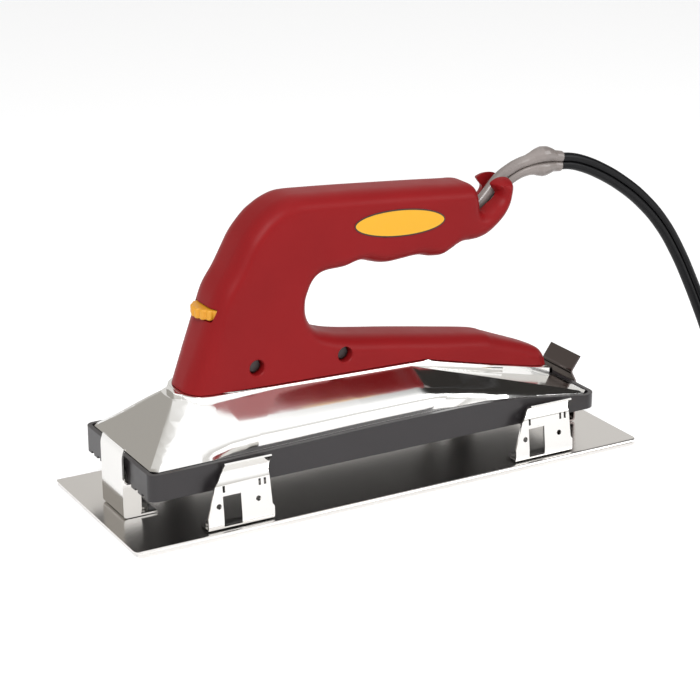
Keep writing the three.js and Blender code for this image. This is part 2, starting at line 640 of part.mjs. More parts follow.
// Toothed thumbwheel on a hub, with a blind bore for the spindle
function makeDial() {
  const corners = [];
  for (let i = 0; i < dialTeeth; i++) {
    for (const [step, radius] of [[0, dialRadius - toothDepth], [0.25, dialRadius - toothDepth * 0.2], [0.5, dialRadius],
      [0.75, dialRadius - toothDepth * 0.2]]) {
      const turn = (2 * Math.PI * (i + step)) / dialTeeth;
      corners.push([dialX + radius * Math.cos(turn), radius * Math.sin(turn)]);
    }
  }
  const low = dialZ - dialThickness / 2;
  const wheel = alongZ(polygon(corners), low, dialZ + dialThickness / 2, toothDepth * 0.6, 1);
  const hub = postZ(dialX, 0, dialHubRadius, low - dialHubHeight, low + dialThickness / 2);
  const bore = postZ(dialX, 0, spindleRadius + boltGap, low - dialHubHeight - cutOverrun, dialZ + seatGap);
  return wheel.add(hub).subtract(bore);
}

// Side clip: a sprung strip, folded to a nose and a flared lip, cut from the front into two legs
const clipWidth = 37.1;
const clipFootInset = 9; // how far the foot runs in under the iron
const clipStandoff = 7.8; // leg's middle plane beyond the sole's side
const clipNoseGap = 1.4; // nose clear of the rim
const clipLean = 2.2;
const clipTongue = 7.5;
const clipHole = 1.5;
const clipNoseShare = 0.72;
const clipWindowShares = [0.235, 0.507];
const clipHoleShares = [0.17, 0.765];
const clipSlotShares = [0.24, 0.78, 0.86];
const clipSlotWidth = 1.3;
const clipSlotHeight = 3.4;
const clipPlaces = [
  { name: 'front', share: 0.101, lipShare: 1.0294 },
  { name: 'rear', share: 0.782, lipShare: 0.8326 }];

function makeClip(front, lipShare, side) {
  const foot = trayTop + seatGap + sheet / 2;
  const leg = soleWidth / 2 + clipStandoff;
  const nose = soleWidth / 2 + clipNoseGap + sheet / 2;
  const rim = heightOn(rimLine, front + clipWidth / 2);
  const noseZ = soleBottom + clipNoseShare * (rim - soleBottom);
  const top = soleBottom + lipShare * (rim - soleBottom);
  const line = roundedLine([
    [leg - clipFootInset, foot], [leg, foot], [leg, foot + 3 * bendRadius], [leg - clipLean, noseZ - 3 * bendRadius],
    [nose, noseZ], [leg - clipLean, top]].map(([y, z]) => [side * y, z]), bendRadius, 2);
  const strip = alongX(bentStrip(line, sheet), front, front + clipWidth);
  const tongueZ = soleBottom - seatGap - sheet / 2;
  const windowTop = tongueZ + sheet / 2;
  const inner = side * (leg - 3 * clipLean);
  const outer = side * trayWidth;
  const at = (share) => front + share * clipWidth;
  const blank = alongY(polygon([
    [front, 0], [front, foot + 4 * bendRadius], [at(0.13), noseZ - 4 * bendRadius], [at(0.29), noseZ],
    [at(0.29), top + cutOverrun], [at(1), top + cutOverrun], [at(1), noseZ], [at(0.95), noseZ - 2 * bendRadius],
    [at(0.97), foot + 5 * bendRadius], [at(1), foot + 4 * bendRadius], [at(1), 0]]), -trayWidth, trayWidth);
  let clip = strip.intersect(blank)
    .subtract(block([at(clipWindowShares[0]), inner, foot + sheet], [at(clipWindowShares[1]), outer, windowTop]))
    .add(block([at(clipWindowShares[0]), side * (soleWidth / 2 - clipTongue + sheet), tongueZ - sheet / 2],
      [at(clipWindowShares[1]), side * (leg - clipLean / 2), windowTop]));
  const holeZ = foot + 0.42 * (noseZ - foot);
  for (const share of clipHoleShares) clip = clip.subtract(barY(at(share), holeZ, clipHole, inner, outer, smallSides));
  for (const share of clipSlotShares) {
    clip = clip.subtract(block([at(share), inner, windowTop + sheet],
      [at(share) + clipSlotWidth, outer, windowTop + sheet + clipSlotHeight]));
  }
  for (const x of clipRivetXs(front)) clip = clip.subtract(rivetHole(x, side * clipRivetY));
  return clip;
}
const clipRivetXs = (front) => [0.12, 0.75].map((share) => front + share * clipWidth);
const clipRivetY = soleWidth / 2 + clipStandoff - clipFootInset / 2 - rivetRadius;

// Front bracket: foot, upright and lip in one strip, with a gusset on each side that carries the nose
const bracketHalf = 13.5;
const bracketGap = 1.9; // upright clear of the nose
const bracketFoot = 18;
const bracketLip = 4;
const bracketLipLean = 1.4;
const gussetReach = 9.5;

function makeBracket() {
  const x = soleFront - bracketGap - sheet / 2;
  const foot = trayTop + seatGap + sheet / 2;
  const top = rimLine[0].y + sheet;
  const line = roundedLine([
    [x + bracketFoot, foot], [x, foot], [x, top], [x + bracketLipLean, top + bracketLip]], bendRadius);
  let body = alongY(bentStrip(line, sheet), -bracketHalf, bracketHalf);
  const seat = soleBottom - seatGap;
  const gusset = polygon([
    [x, foot], [x, seat + bracketGap], [x + bracketGap, seat], [soleFront + soleWall, seat],
    [x + gussetReach, seat - gussetReach / 2], [x + gussetReach, foot + 2 * bendRadius], [x + bracketFoot / 2, foot]]);
  body = body.add(alongY(gusset, -bracketHalf, -bracketHalf + sheet));
  body = body.add(alongY(gusset, bracketHalf - sheet, bracketHalf));
  for (const y of bracketRivetYs) body = body.subtract(rivetHole(bracketRivetX, y));
  return body;
}
const bracketRivetX = soleFront - bracketGap + bracketFoot - 2 * rivetHeadRadius;
const bracketRivetYs = [-bracketHalf / 2, bracketHalf / 2];

// Rear latch: strip folded to a nose over the tail, with a flared thumb tab
const latchHalf = 14;
const latchGap = 4.6; // upright clear of the tail
const latchFoot = 13;
const latchNoseGap = 1.2;
const latchNoseRise = 11.6; // nose above the sole's underside
const latchTab = 8.4;
const latchTabFlare = 6.4;

function makeLatch() {
  const x = soleRear + latchGap + sheet / 2;
  const foot = trayTop + seatGap + sheet / 2;
  const nose = soleBottom + latchNoseRise;
  const line = roundedLine([
    [x - latchFoot, foot], [x, foot], [x, nose - latchGap - bendRadius], [soleRear + latchNoseGap + sheet / 2, nose],
    [soleRear + latchNoseGap + latchTabFlare, nose + latchTab]], bendRadius);
  let body = alongY(bentStrip(line, sheet), -latchHalf, latchHalf);
  for (const y of latchRivetYs) body = body.subtract(rivetHole(latchRivetX, y));
  return body;
}
const latchRivetX = soleRear + latchGap - latchFoot + rivetHeadRadius + sheet;
const latchRivetYs = [-latchHalf / 2, latchHalf / 2];

// Stand
const clipFronts = clipPlaces.map(({ share }) => soleFront + share * soleLength);
const rivetPlaces = [
  ...bracketRivetYs.map((y) => [bracketRivetX, y]),
  ...latchRivetYs.map((y) => [latchRivetX, y]),
  ...clipFronts.flatMap((front) => clipRivetXs(front).flatMap((x) => [[x, -clipRivetY], [x, clipRivetY]]))];
const rivetNames = [
  'rivet_bracket_near', 'rivet_bracket_far', 'rivet_latch_near', 'rivet_latch_far',
  ...clipPlaces.flatMap(({ name }) => ['a', 'b'].flatMap((letter) =>
    [`rivet_clip_${name}_near_${letter}`, `rivet_clip_${name}_far_${letter}`]))];
let tray = makeTray();
for (const [x, y] of rivetPlaces) tray = tray.subtract(rivetHole(x, y));
add('tray_plate', tray, chrome);
add('front_bracket', makeBracket(), chrome);
add('rear_latch', makeLatch(), chrome);
clipPlaces.forEach(({ name, lipShare }, i) => {
  add(`side_clip_${name}_near`, makeClip(clipFronts[i], lipShare, -1), chrome);
  add(`side_clip_${name}_far`, makeClip(clipFronts[i], lipShare, 1), chrome);
});
addEach(rivetNames, rivetPlaces.map(([x, y]) => rivet(x, y)), steel);

// Sole and what stands on it
add('sole_plate', makeSole(), castDark);
const elementPath = [];
for (let i = 0; i <= 4; i++) elementPath.push([elementEndX + ((elementBendX - elementEndX) * i) / 4, -elementSpread, elementZ]);
for (let i = 1; i < 8; i++) {
  const turn = -Math.PI / 2 - (Math.PI * i) / 8;
  elementPath.push([elementBendX + elementSpread * Math.cos(turn), elementSpread * Math.sin(turn), elementZ]);
}
for (let i = 0; i <= 4; i++) elementPath.push([elementBendX + ((elementEndX - elementBendX) * i) / 4, elementSpread, elementZ]);
const pinX = elementEndX - elementPinRadius - sheet;
const pinTop = elementZ + elementPinHeight;
add('heating_element', union([
  tube(smoothCurve(elementPath), roundSection(elementRadius, 8), 44),
  ...[-1, 1].map((sign) => postZ(pinX, sign * elementSpread, elementPinRadius, elementZ, pinTop, 8))]), steel);
addEach(['element_clamp_front', 'element_clamp_rear'], clampXs.map((x) =>
  block([x - clampWidth / 2, -clampReach, clampZ], [x + clampWidth / 2, clampReach, clampZ + clampSheet])
    .subtract(postZ(x, 0, smallScrewRadius + boltGap, clampZ - sheet, clampZ + cutOverrun, smallSides))), steel);
const smallScrew = (x, seatZ, depth) => union([
  postZ(x, 0, smallScrewHeadRadius, seatZ + seatGap, seatZ + seatGap + smallScrewHead, smallSides),
  postZ(x, 0, smallScrewRadius, seatZ - depth, seatZ + seatGap + smallScrewHead / 2, smallSides)]);
addEach(['clamp_screw_front', 'clamp_screw_rear'],
  clampXs.map((x) => smallScrew(x, clampZ + clampSheet, clampSheet + smallScrewDepth)), brass);

const tabX = dialX + thermostatLength / 2 - tabWidth / 2;
const thermostat = union([
  block([dialX - thermostatFootLength / 2, -thermostatWidth / 2, thermostatFloor],
    [dialX + thermostatFootLength / 2, thermostatWidth / 2, thermostatFloor + thermostatFoot]),
  block([dialX - thermostatLength / 2, -thermostatWidth / 2, thermostatFloor],
    [dialX + thermostatLength / 2, thermostatWidth / 2, thermostatTop]),
  postZ(dialX, 0, thermostatBushRadius, thermostatTop - sheet, thermostatTop + thermostatBushHeight),
  block([dialX, -bladeWidth / 2, thermostatTop - thermostatHeight / 3],
    [dialX + bladeLength, bladeWidth / 2, thermostatTop - thermostatHeight / 3 + bladeThickness]),
  ...[-1, 1].map((sign) => block(
    [tabX - tabWidth / 2, sign * tabSpread - bladeThickness / 2, thermostatTop - sheet],
    [tabX + tabWidth / 2, sign * tabSpread + bladeThickness / 2, thermostatTop + tabHeight]))])
  .subtract(postZ(dialX, 0, spindleRadius + boltGap, thermostatTop, thermostatTop + cutOverrun))
  .subtract(union(thermostatScrewXs.map((x) =>
    postZ(x, 0, smallScrewRadius + boltGap, soleTopFloor, thermostatFloor + thermostatFoot + sheet, smallSides))));
add('thermostat_body', thermostat, ceramic);
addEach(['thermostat_screw_front', 'thermostat_screw_rear'], thermostatScrewXs.map((x) =>
  smallScrew(x, thermostatFloor + thermostatFoot, thermostatFoot + smallScrewDepth - seatGap)), brass);

// Hood, the spacers that carry it and the bolts through it
add('hood', makeHood(), chrome);
const spacerLow = soleTopFloor + boltBossHeight + seatGap;
const spacerHigh = platformTop - hoodWall - seatGap;
addEach(['hood_spacer_front', 'hood_spacer_rear'], boltXs.map((x) => postZ(x, 0, boltHeadRadius, spacerLow, spacerHigh)
  .subtract(postZ(x, 0, boltRadius + boltGap, 0, platformTop))), steel);
const boltSeat = handleBase + shellWall + seatGap;
addEach(['mounting_bolt_front', 'mounting_bolt_rear'], boltXs.map((x) => union([
  postZ(x, 0, boltHeadRadius, boltSeat, boltSeat + boltHeadHeight, 6),
  postZ(x, 0, boltRadius, soleTopFloor + boltBossHeight - boltDepth, boltSeat + boltHeadHeight / 2)])), steel);

// Handle shells and their screws
const [nearShell, farShell] = makeShells();
add('handle_shell_near', nearShell, redPlastic);
add('handle_shell_far', farShell, redPlastic);
const headSeat = -handleHalf + screwRecess - seatGap;
addEach(['handle_screw_front', 'handle_screw_middle', 'handle_screw_top'], gripScrews.map(({ x, y }) => union([
  barY(x, y, screwHeadRadius, headSeat - screwHeadHeight, headSeat, smallSides),
  barY(x, y, screwRadius, headSeat - screwHeadHeight / 2, handleHalf - shellWall - screwRadius, smallSides)])), steel);

// Cord clamp inside the grip
add('cord_clamp_plate', clampPlate(0).subtract(union(clampScrewZs.map((z) =>
  barY(clampPlateX, z, smallScrewRadius + boltGap, -handleHalf, 0, smallSides)))), steel);
const clampHead = clampPlateLow - clampSheet - seatGap;
addEach(['cord_clamp_screw_low', 'cord_clamp_screw_high'], clampScrewZs.map((z) => union([
  barY(clampPlateX, z, smallScrewHeadRadius, clampHead - smallScrewHead, clampHead, smallSides),
  barY(clampPlateX, z, smallScrewRadius, clampHead - smallScrewHead / 2,
    cordThickness / 2 + clampScrewLength - 2 * seatGap, smallSides)])), brass);

// Dial and spindle
add('thermostat_dial', makeDial(), yellowPlastic);
add('dial_spindle', postZ(dialX, 0, spindleRadius, thermostatTop + seatGap, dialZ), steel);

// Leads inside the handle and under the hood
const innerCordShare = 0.6102;
const innerCordEnd = handleFront + innerCordShare * handleLength;
const innerCordZ = cordSeatZ;
const leadRadius = 1.3;
add('cord_inner', alongX(twinSection(cordThickness, cordWidth, 0, innerCordZ),
  innerCordEnd + seatGap, sleevePoints[0][0] - seatGap), blackRubber);
const lobe = cordWidth / 4;
const leadTabZ = thermostatTop + tabHeight + seatGap;
const leadPinZ = pinTop + seatGap;

// Three runs of a lead: down the grip, across to the thermostat's tab, and along the sole to a pin
const gripRoom = handleHalf - shellWall - ribHeight - leadRadius;
const downGrip = (side, shares) => shares.map(([along, out, up]) => {
  const { x, y } = onHandle([along, up]);
  return [x, side * out * gripRoom, y];
});
const hoodRoom = (up) => leadPinZ + up * (platformTop - hoodWall - leadPinZ);
const throughHole = (side, shares) => shares.map(([out, up]) => [
  leadHoleX, side * out * (leadHoleRadius - leadRadius), handleBase + up * handleHeight]);
const toTab = (shares) => shares.map(([along, out, up]) => [
  leadHoleX + along * (tabX - leadHoleX), -out * tabSpread, hoodRoom(up)]);
const alongSole = (side, shares) => shares.map(([along, out, up]) => [
  soleFront + along * soleLength, side * out * elementSpread, hoodRoom(up)]);
const ontoPin = (side) => [[4, 0.228], [0.5, 0.177], [0, 0.106], [0, 0]].map(([radii, up]) => [
  pinX - radii * leadRadius, side * elementSpread, hoodRoom(up)]);
const liveGripShares = [[0.5853, 0.065, 0.7275], [0.5284, 0.4, 0.687], [0.4191, 0.55, 0.677], [0.3141, 0.645, 0.672],
  [0.2485, 0.645, 0.592], [0.2178, 0.58, 0.402]];
const neutralGripShares = [[0.5853, 0.065, 0.6805], [0.5284, 0.4, 0.662], [0.4191, 0.55, 0.652],
  [0.3141, 0.645, 0.647], [0.2529, 0.645, 0.572], [0.2222, 0.58, 0.402]];
const holeShares = [[0.88, 0.202], [0.727, 0.062]];
const leadLive = [[innerCordEnd, 0, innerCordZ + lobe], ...downGrip(-1, liveGripShares),
  ...throughHole(-1, holeShares),
  ...toTab([[0, 0.52, 0.934], [0.126, 0.68, 0.631], [0.441, 0.92, 0.51], [0.874, 1, 0.49], [1, 1, 0.328]]),
  [tabX, -tabSpread, leadTabZ]];
const leadNeutral = [[innerCordEnd, 0, innerCordZ - lobe], ...downGrip(1, neutralGripShares),
  ...throughHole(1, holeShares),
  ...toTab([[-0.025, -0.4, 0.985], [-0.189, 0.12, 0.707], [-0.441, 1.08, 0.51]]),
  ...alongSole(-1, [[0.356, 0.48, 0.399], [0.4375, 0.65, 0.328], [0.5855, 0.75, 0.328], [0.7261, 0.9, 0.258]]),
  ...ontoPin(-1)];
const leadLink = [[tabX, tabSpread, leadTabZ], [tabX + leadRadius / 6, tabSpread + leadRadius / 6, leadTabZ + 2 * leadRadius],
  ...alongSole(1, [[0.2598, 0.37, 0.46], [0.3, 0.5, 0.399], [0.4005, 0.6, 0.328], [0.5855, 0.75, 0.328], [0.7261, 0.9, 0.258]]),
  ...ontoPin(1)];
add('lead_live', tube(smoothCurve(leadLive), roundSection(leadRadius, 6), 34), redPlastic);
add('lead_neutral', tube(smoothCurve(leadNeutral), roundSection(leadRadius, 6), 44), blackRubber);
add('lead_link', tube(smoothCurve(leadLink), roundSection(leadRadius, 6), 26), ceramic);

// Sleeve with its bulge and collar
const bulgeShare = 0.855;
const bulgeAt = sleeveCurve.getPointAt(bulgeShare);
const bulge = new THREE.SphereGeometry(1, 16, 10);
bulge.scale(sleeveBulgeLength / 2, sleeveBulgeRadius * 0.72, sleeveBulgeRadius);
bulge.translate(bulgeAt.x, bulgeAt.y, bulgeAt.z);
add('cord_sleeve', union([tube(sleeveCurve, twinSection(sleeveThickness, sleeveWidth), 22), solid(bulge)]), greySleeve);

// Free cord: down from the sleeve to the floor
const cordRest = cordWidth / 2 + seatGap / 3;
const cordPoints = [[131.5, 0, 153.45], [137.5, 0, 152.7], [145.5, 0, 150.4], [158.4, 0, 144.6], [174, 0, 135.2],
  [189.6, 0, 122.9], [204, 0, 107.6], [216, 0, 90], [227, 0, 70], [237.1, 0, 49.5], [248, 0, 27], [254.1, 0, 17.9],
  [262, 0, 11.2], [270, 0, 6.9], [276.5, 0, 5.1], [280.6, 0, cordRest], [283.8, 0, cordRest]];
const cordSection = hexSection(cordThickness, cordWidth);
add('cord_run', tube(smoothCurve(cordPoints), cordSection, 28), blackRubber);

// Coil: one unbroken tube that spirals in, climbs a layer and spirals out again
const coilTurns = [2, 0.5, 2];
const coilStart = cordPoints[cordPoints.length - 1][0] + seatGap;
const coilX = coilStart + cordWidth;
const coilY = -coilRadius;
const tieTurn = Math.PI;
const tieLoops = [0.75, 1.75]; // turns of the lower layer where it passes the tie
function coilPoint(turns) {
  const [inTurns, climbTurns] = coilTurns;
  const [spiralled, climbed] = [Math.min(turns, inTurns), Math.min(Math.max(turns - inTurns, 0) / climbTurns, 1)];
  const out = Math.max(turns - inTurns - climbTurns, 0);
  const radius = coilRadius - coilPitch * spiralled + coilPitch * out;
  const angle = Math.PI / 2 - 2 * Math.PI * turns;
  const rise = coilLayerStep * climbed * climbed * (3 - 2 * climbed);
  const lift = coilTieLift * Math.max(0, Math.cos(angle - tieTurn)) ** 10;
  return [coilX + radius * Math.cos(angle), coilY + radius * Math.sin(angle), cordRest + rise + lift];
}
const allTurns = coilTurns.reduce((sum, turns) => sum + turns);
const coilPath = [[coilStart, 0, cordRest], [coilStart + cordWidth / 2, 0, cordRest]];
for (let i = 0; i <= allTurns * stepsPerLoop; i++) coilPath.push(coilPoint(i / stepsPerLoop));
const coilEndY = coilPath[coilPath.length - 1][1];
const layerTop = cordRest + coilLayerStep;
const plugThickness = 13;
const plugAxis = seatGap / 3 + plugThickness / 2;
const coilTail = [[-12, 0, 1], [-24, 0.3, 1], [-33, 0.9, 0.9], [-42, 2, 0.661], [-51, 3.3, 0.371], [-60, 4.4, 0.121],
  [-66, 4.8, 0.012], [-72, 4.8, 0]];
for (const [dx, dy, share] of coilTail) coilPath.push([coilX + dx, coilEndY + dy, plugAxis + share * (layerTop - plugAxis)]);
const coilCurve = smoothCurve(coilPath);
const coilSection = polygon([[cordWidth / 2, 0], [cordWidth / 4, cordThickness / 2], [-cordWidth / 4, cordThickness / 2],
  [-cordWidth / 2, 0], [-cordWidth / 4, -cordThickness / 2], [cordWidth / 4, -cordThickness / 2]]);
add('cord_coil', tube(coilCurve, coilSection, Math.round((allTurns + 0.4) * stepsPerLoop)), blackRubber);

// Least gap of the coil to itself, between points more than half a loop apart
function coilGap() {
  const samples = coilCurve.getSpacedPoints(stepsPerLoop * 16);
  const apart = Math.round(samples.length / (2 * (allTurns + 1)));
  let least = Infinity;
  for (let i = 0; i < samples.length; i++) {
    for (let j = i + apart; j < samples.length; j++) {
      const across = Math.hypot(samples[i].x - samples[j].x, samples[i].y - samples[j].y) - cordThickness;
      const up = Math.abs(samples[i].z - samples[j].z) - cordWidth;
      least = Math.min(least, Math.max(across, up));
    }
  }
  return least;
}
console.log('least gap of the coil to itself, mm:', coilGap().toFixed(2));
console.log('coil length, mm:', coilCurve.getLength().toFixed(0), ' run length, mm:', smoothCurve(cordPoints).getLength().toFixed(0));

// Tie round the coil's two layers
const tieWidth = 8;
const tieSheet = 1;
const tieOuter = coilRadius - coilPitch * tieLoops[0] + cordThickness / 2 + 3 * seatGap;
const tieInner = coilRadius - coilPitch * tieLoops[1] - cordThickness / 2 - 5 * seatGap;
const tieLow = cordRest - cordWidth / 2 + coilTieLift - seatGap;
const tieHigh = cordRest + cordWidth / 2 + coilTieLift + coilLayerStep + 2 * seatGap;
add('coil_tie', block([coilX - tieOuter - tieSheet, coilY - tieWidth / 2, tieLow - tieSheet],
  [coilX - tieInner + tieSheet, coilY + tieWidth / 2, tieHigh + tieSheet])
  .subtract(block([coilX - tieOuter, coilY - tieWidth, tieLow], [coilX - tieInner, coilY + tieWidth, tieHigh])), blackRubber);

// Plug: moulded body with two flat blades
const plugLength = 30;
const plugHalf = 9.5;
const plugNeck = 12;
const plugNeckHalf = 4.2;
const bladeSpread = 6.35;
const plugBladeWidth = 6.3;
const plugBladeSheet = 1.5;
const plugBladeLength = 17;
const plugBladeRoot = 4;
const plugRear = coilX + coilTail[coilTail.length - 1][0] - seatGap;
const plugY = coilEndY + coilTail[coilTail.length - 1][1];
const plugFront = plugRear - plugNeck - plugLength;
const plugPlan = polygon([[plugRear, -plugNeckHalf], [plugRear, plugNeckHalf], [plugRear - plugNeck, plugHalf * 0.8],
  [plugRear - plugNeck - plugLength * 0.3, plugHalf], [plugFront, plugHalf], [plugFront, -plugHalf],
  [plugRear - plugNeck - plugLength * 0.3, -plugHalf], [plugRear - plugNeck, -plugHalf * 0.8]]
  .map(([x, y]) => [x, plugY + y]));
const plugLow = plugAxis - plugThickness / 2;
const plugSolid = alongZ(plugPlan, plugLow, plugLow + plugThickness, prongRounding);
const bladeAt = (sign, grow, rear) => block(
  [plugFront - plugBladeLength, plugY + sign * bladeSpread - plugBladeSheet / 2 - grow, plugAxis - plugBladeWidth / 2 - grow],
  [rear, plugY + sign * bladeSpread + plugBladeSheet / 2 + grow, plugAxis + plugBladeWidth / 2 + grow]);
add('plug_body', plugSolid.subtract(union([-1, 1].map((sign) => bladeAt(sign, seatGap, plugFront + plugBladeRoot + seatGap)))), blackRubber);
addEach(['plug_blade_near', 'plug_blade_far'], [-1, 1].map((sign) => bladeAt(sign, 0, plugFront + plugBladeRoot)), brass);

export default iron;
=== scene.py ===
# %% [markdown]
# # A carpet seaming iron in its sprung tray
# The iron joins the edges of carpets with heat. It has a heated sole, a bright hood over it, and a
# moulded red handle that carries the thermostat wheel and the cord. Between seams it rests in a
# tray of polished sheet with folded spring clips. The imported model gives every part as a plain
# solid. This notebook copies a solid and softens its edges where its shape is right, and models
# the handle, the lip under it, the cord, the sleeve and the label afresh. The world is in metres
# with +Z up. Most sizes below are in millimetres, and MM turns them into metres.

# %% Start
import json
import math

import bmesh
import bpy
import numpy as np
from mathutils import Matrix, Vector
from mathutils.geometry import delaunay_2d_cdt


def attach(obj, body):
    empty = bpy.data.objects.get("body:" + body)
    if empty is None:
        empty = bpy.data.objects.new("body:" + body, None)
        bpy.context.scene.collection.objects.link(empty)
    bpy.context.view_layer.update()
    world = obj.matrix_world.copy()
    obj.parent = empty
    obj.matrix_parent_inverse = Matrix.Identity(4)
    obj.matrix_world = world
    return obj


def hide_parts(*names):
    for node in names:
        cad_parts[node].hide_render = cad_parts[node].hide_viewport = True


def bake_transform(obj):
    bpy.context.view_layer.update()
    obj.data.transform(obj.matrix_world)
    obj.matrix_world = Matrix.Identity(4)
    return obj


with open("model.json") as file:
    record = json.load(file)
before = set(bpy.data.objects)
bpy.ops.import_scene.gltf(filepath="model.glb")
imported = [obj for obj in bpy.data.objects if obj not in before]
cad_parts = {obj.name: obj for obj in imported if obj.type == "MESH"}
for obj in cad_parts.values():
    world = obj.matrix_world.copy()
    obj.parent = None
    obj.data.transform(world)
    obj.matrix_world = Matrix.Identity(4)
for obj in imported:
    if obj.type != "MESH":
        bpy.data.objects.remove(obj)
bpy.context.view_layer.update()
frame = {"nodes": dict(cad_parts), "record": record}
nodes = frame["nodes"]
print("solids:", len(nodes))

MM = 0.001
scene = bpy.context.scene
scene.view_settings.view_transform = "Standard"


def link(piece):
    scene.collection.objects.link(piece)
    return piece


# %% [markdown]
# ## Camera
# The photograph looks down a little on the side with the screws. A long lens from just over a
# metre away keeps the tray's far edge nearly parallel to the near one. The camera could be
# placed by hand, but its angles round a target make it easy to read which way it looks.

# %% Camera
CAMERA_AZIMUTH = math.radians(-29.54)
CAMERA_HEIGHT = math.radians(19.44)
CAMERA_DISTANCE = 1.2021
CAMERA_TARGET = Vector((0.06071, 0.11058, 0.0215))
SENSOR_WIDTH = 36
FOCAL_PIXELS = 2000
FRAME_PIXELS = 700

towards_camera = Vector((
    math.sin(CAMERA_AZIMUTH) * math.cos(CAMERA_HEIGHT),
    -math.cos(CAMERA_AZIMUTH) * math.cos(CAMERA_HEIGHT),
    math.sin(CAMERA_HEIGHT)))
camera_data = bpy.data.cameras.new("camera")
camera_data.sensor_width = SENSOR_WIDTH
camera_data.lens = SENSOR_WIDTH * FOCAL_PIXELS / FRAME_PIXELS
camera = link(bpy.data.objects.new("camera", camera_data))
camera.location = CAMERA_TARGET + CAMERA_DISTANCE * towards_camera
camera.rotation_euler = (-towards_camera).to_track_quat("-Z", "Y").to_euler()
scene.camera = camera
print("lens, mm:", round(camera_data.lens, 1))

# %% [markdown]
# ## Finishes
# Every finish is a Principled shader whose colour, roughness and bump come from small node
# groups. A group is built once and used by each material with its own numbers. The patterns
# read Object coordinates, so they stay on the piece when it moves. A few helpers keep the
# wiring short.


# %% Node helpers
def add_node(tree, kind, **values):
    node = tree.nodes.new(kind)
    for key, value in values.items():
        setattr(node, key, value)
    return node


def feed(tree, source, socket):
    """Link the socket to the source, or set it where the source is a number or a colour."""
    if isinstance(source, bpy.types.NodeSocket):
        tree.links.new(source, socket)
    else:
        socket.default_value = source


def calculate(tree, operation, *terms, clamp=False):
    """The result of a Math node whose terms are sockets or numbers."""
    node = add_node(tree, "ShaderNodeMath", operation=operation, use_clamp=clamp)
    for source, socket in zip(terms, node.inputs):
        feed(tree, source, socket)
    return node.outputs[0]


def noise(tree, scale, detail=2.0, roughness=0.5, stretch=None):
    """Noise on Object coordinates, its scale a socket or a number, drawn out if stretch says so."""
    place = add_node(tree, "ShaderNodeTexCoord").outputs["Object"]
    if stretch:
        mapping = add_node(tree, "ShaderNodeMapping")
        mapping.inputs["Scale"].default_value = stretch
        feed(tree, place, mapping.inputs["Vector"])
        place = mapping.outputs["Vector"]
    texture = add_node(tree, "ShaderNodeTexNoise")
    sources = {"Vector": place, "Scale": scale, "Detail": detail, "Roughness": roughness}
    for label, source in sources.items():
        feed(tree, source, texture.inputs[label])
    return texture.outputs["Fac"]


def between(tree, value, low, high):
    """A value from 0 to 1 spread between two others, which are sockets or numbers."""
    spread = add_node(tree, "ShaderNodeMapRange")
    for label, source in (("Value", value), ("To Min", low), ("To Max", high)):
        feed(tree, source, spread.inputs[label])
    return spread.outputs["Result"]


def new_group(name, inputs, outputs):
    """A shader node group with named sockets, and its two end nodes."""
    group = bpy.data.node_groups.new(name, "ShaderNodeTree")
    for label, kind, value in inputs:
        socket = group.interface.new_socket(label, in_out="INPUT", socket_type=kind)
        socket.default_value = value
    for label, kind in outputs:
        group.interface.new_socket(label, in_out="OUTPUT", socket_type=kind)
    return group, add_node(group, "NodeGroupInput"), add_node(group, "NodeGroupOutput")


# %% [markdown]
# ### The shared effects
# *Moulded grain* is the fine pebble of moulded plastic with a faint cloud of lighter and darker
# colour. *Polish* is what handling leaves on bright sheet: faint smears in the roughness, and hair
# lines along one direction. Both could be drawn as pictures, but noise has no seams and no edge.


# %% Effects: moulded grain and polish
CLOUD_SCALE = 38.0
GRIP_SMEAR_SCALE = 90.0
SHEET_SMEAR_SCALE = 30.0
HAIR_STRETCH = (0.03, 1.0, 1.0)


def build_grain():
    group, start, end = new_group(
        "moulded grain",
        [("Colour", "NodeSocketColor", (0.5, 0.5, 0.5, 1)),
         ("Cloud", "NodeSocketFloat", 0.1),
         ("Grain scale", "NodeSocketFloat", 1500.0),
         ("Low roughness", "NodeSocketFloat", 0.35),
         ("High roughness", "NodeSocketFloat", 0.5)],
        [("Colour", "NodeSocketColor"), ("Roughness", "NodeSocketFloat"), ("Height", "NodeSocketFloat")])
    centred = calculate(group, "SUBTRACT", noise(group, CLOUD_SCALE, detail=3.0), 0.5)
    gain = calculate(group, "MULTIPLY_ADD", centred, start.outputs["Cloud"], 1.0)
    tone = add_node(group, "ShaderNodeHueSaturation")
    feed(group, gain, tone.inputs["Value"])
    feed(group, start.outputs["Colour"], tone.inputs["Color"])
    smear = noise(group, GRIP_SMEAR_SCALE, detail=4.0)
    rough = between(group, smear, start.outputs["Low roughness"], start.outputs["High roughness"])
    feed(group, tone.outputs["Color"], end.inputs["Colour"])
    feed(group, rough, end.inputs["Roughness"])
    feed(group, noise(group, start.outputs["Grain scale"]), end.inputs["Height"])
    return group


def build_polish():
    group, start, end = new_group(
        "polish",
        [("Low roughness", "NodeSocketFloat", 0.03),
         ("High roughness", "NodeSocketFloat", 0.12),
         ("Hair scale", "NodeSocketFloat", 900.0)],
        [("Roughness", "NodeSocketFloat"), ("Height", "NodeSocketFloat")])
    smear = noise(group, SHEET_SMEAR_SCALE, detail=5.0, roughness=0.6)
    rough = between(group, smear, start.outputs["Low roughness"], start.outputs["High roughness"])
    hair = noise(group, start.outputs["Hair scale"], detail=1.0, stretch=HAIR_STRETCH)
    feed(group, rough, end.inputs["Roughness"])
    feed(group, hair, end.inputs["Height"])
    return group


GRAIN = build_grain()
POLISH = build_polish()
print("effects:", GRAIN.name, "and", POLISH.name)

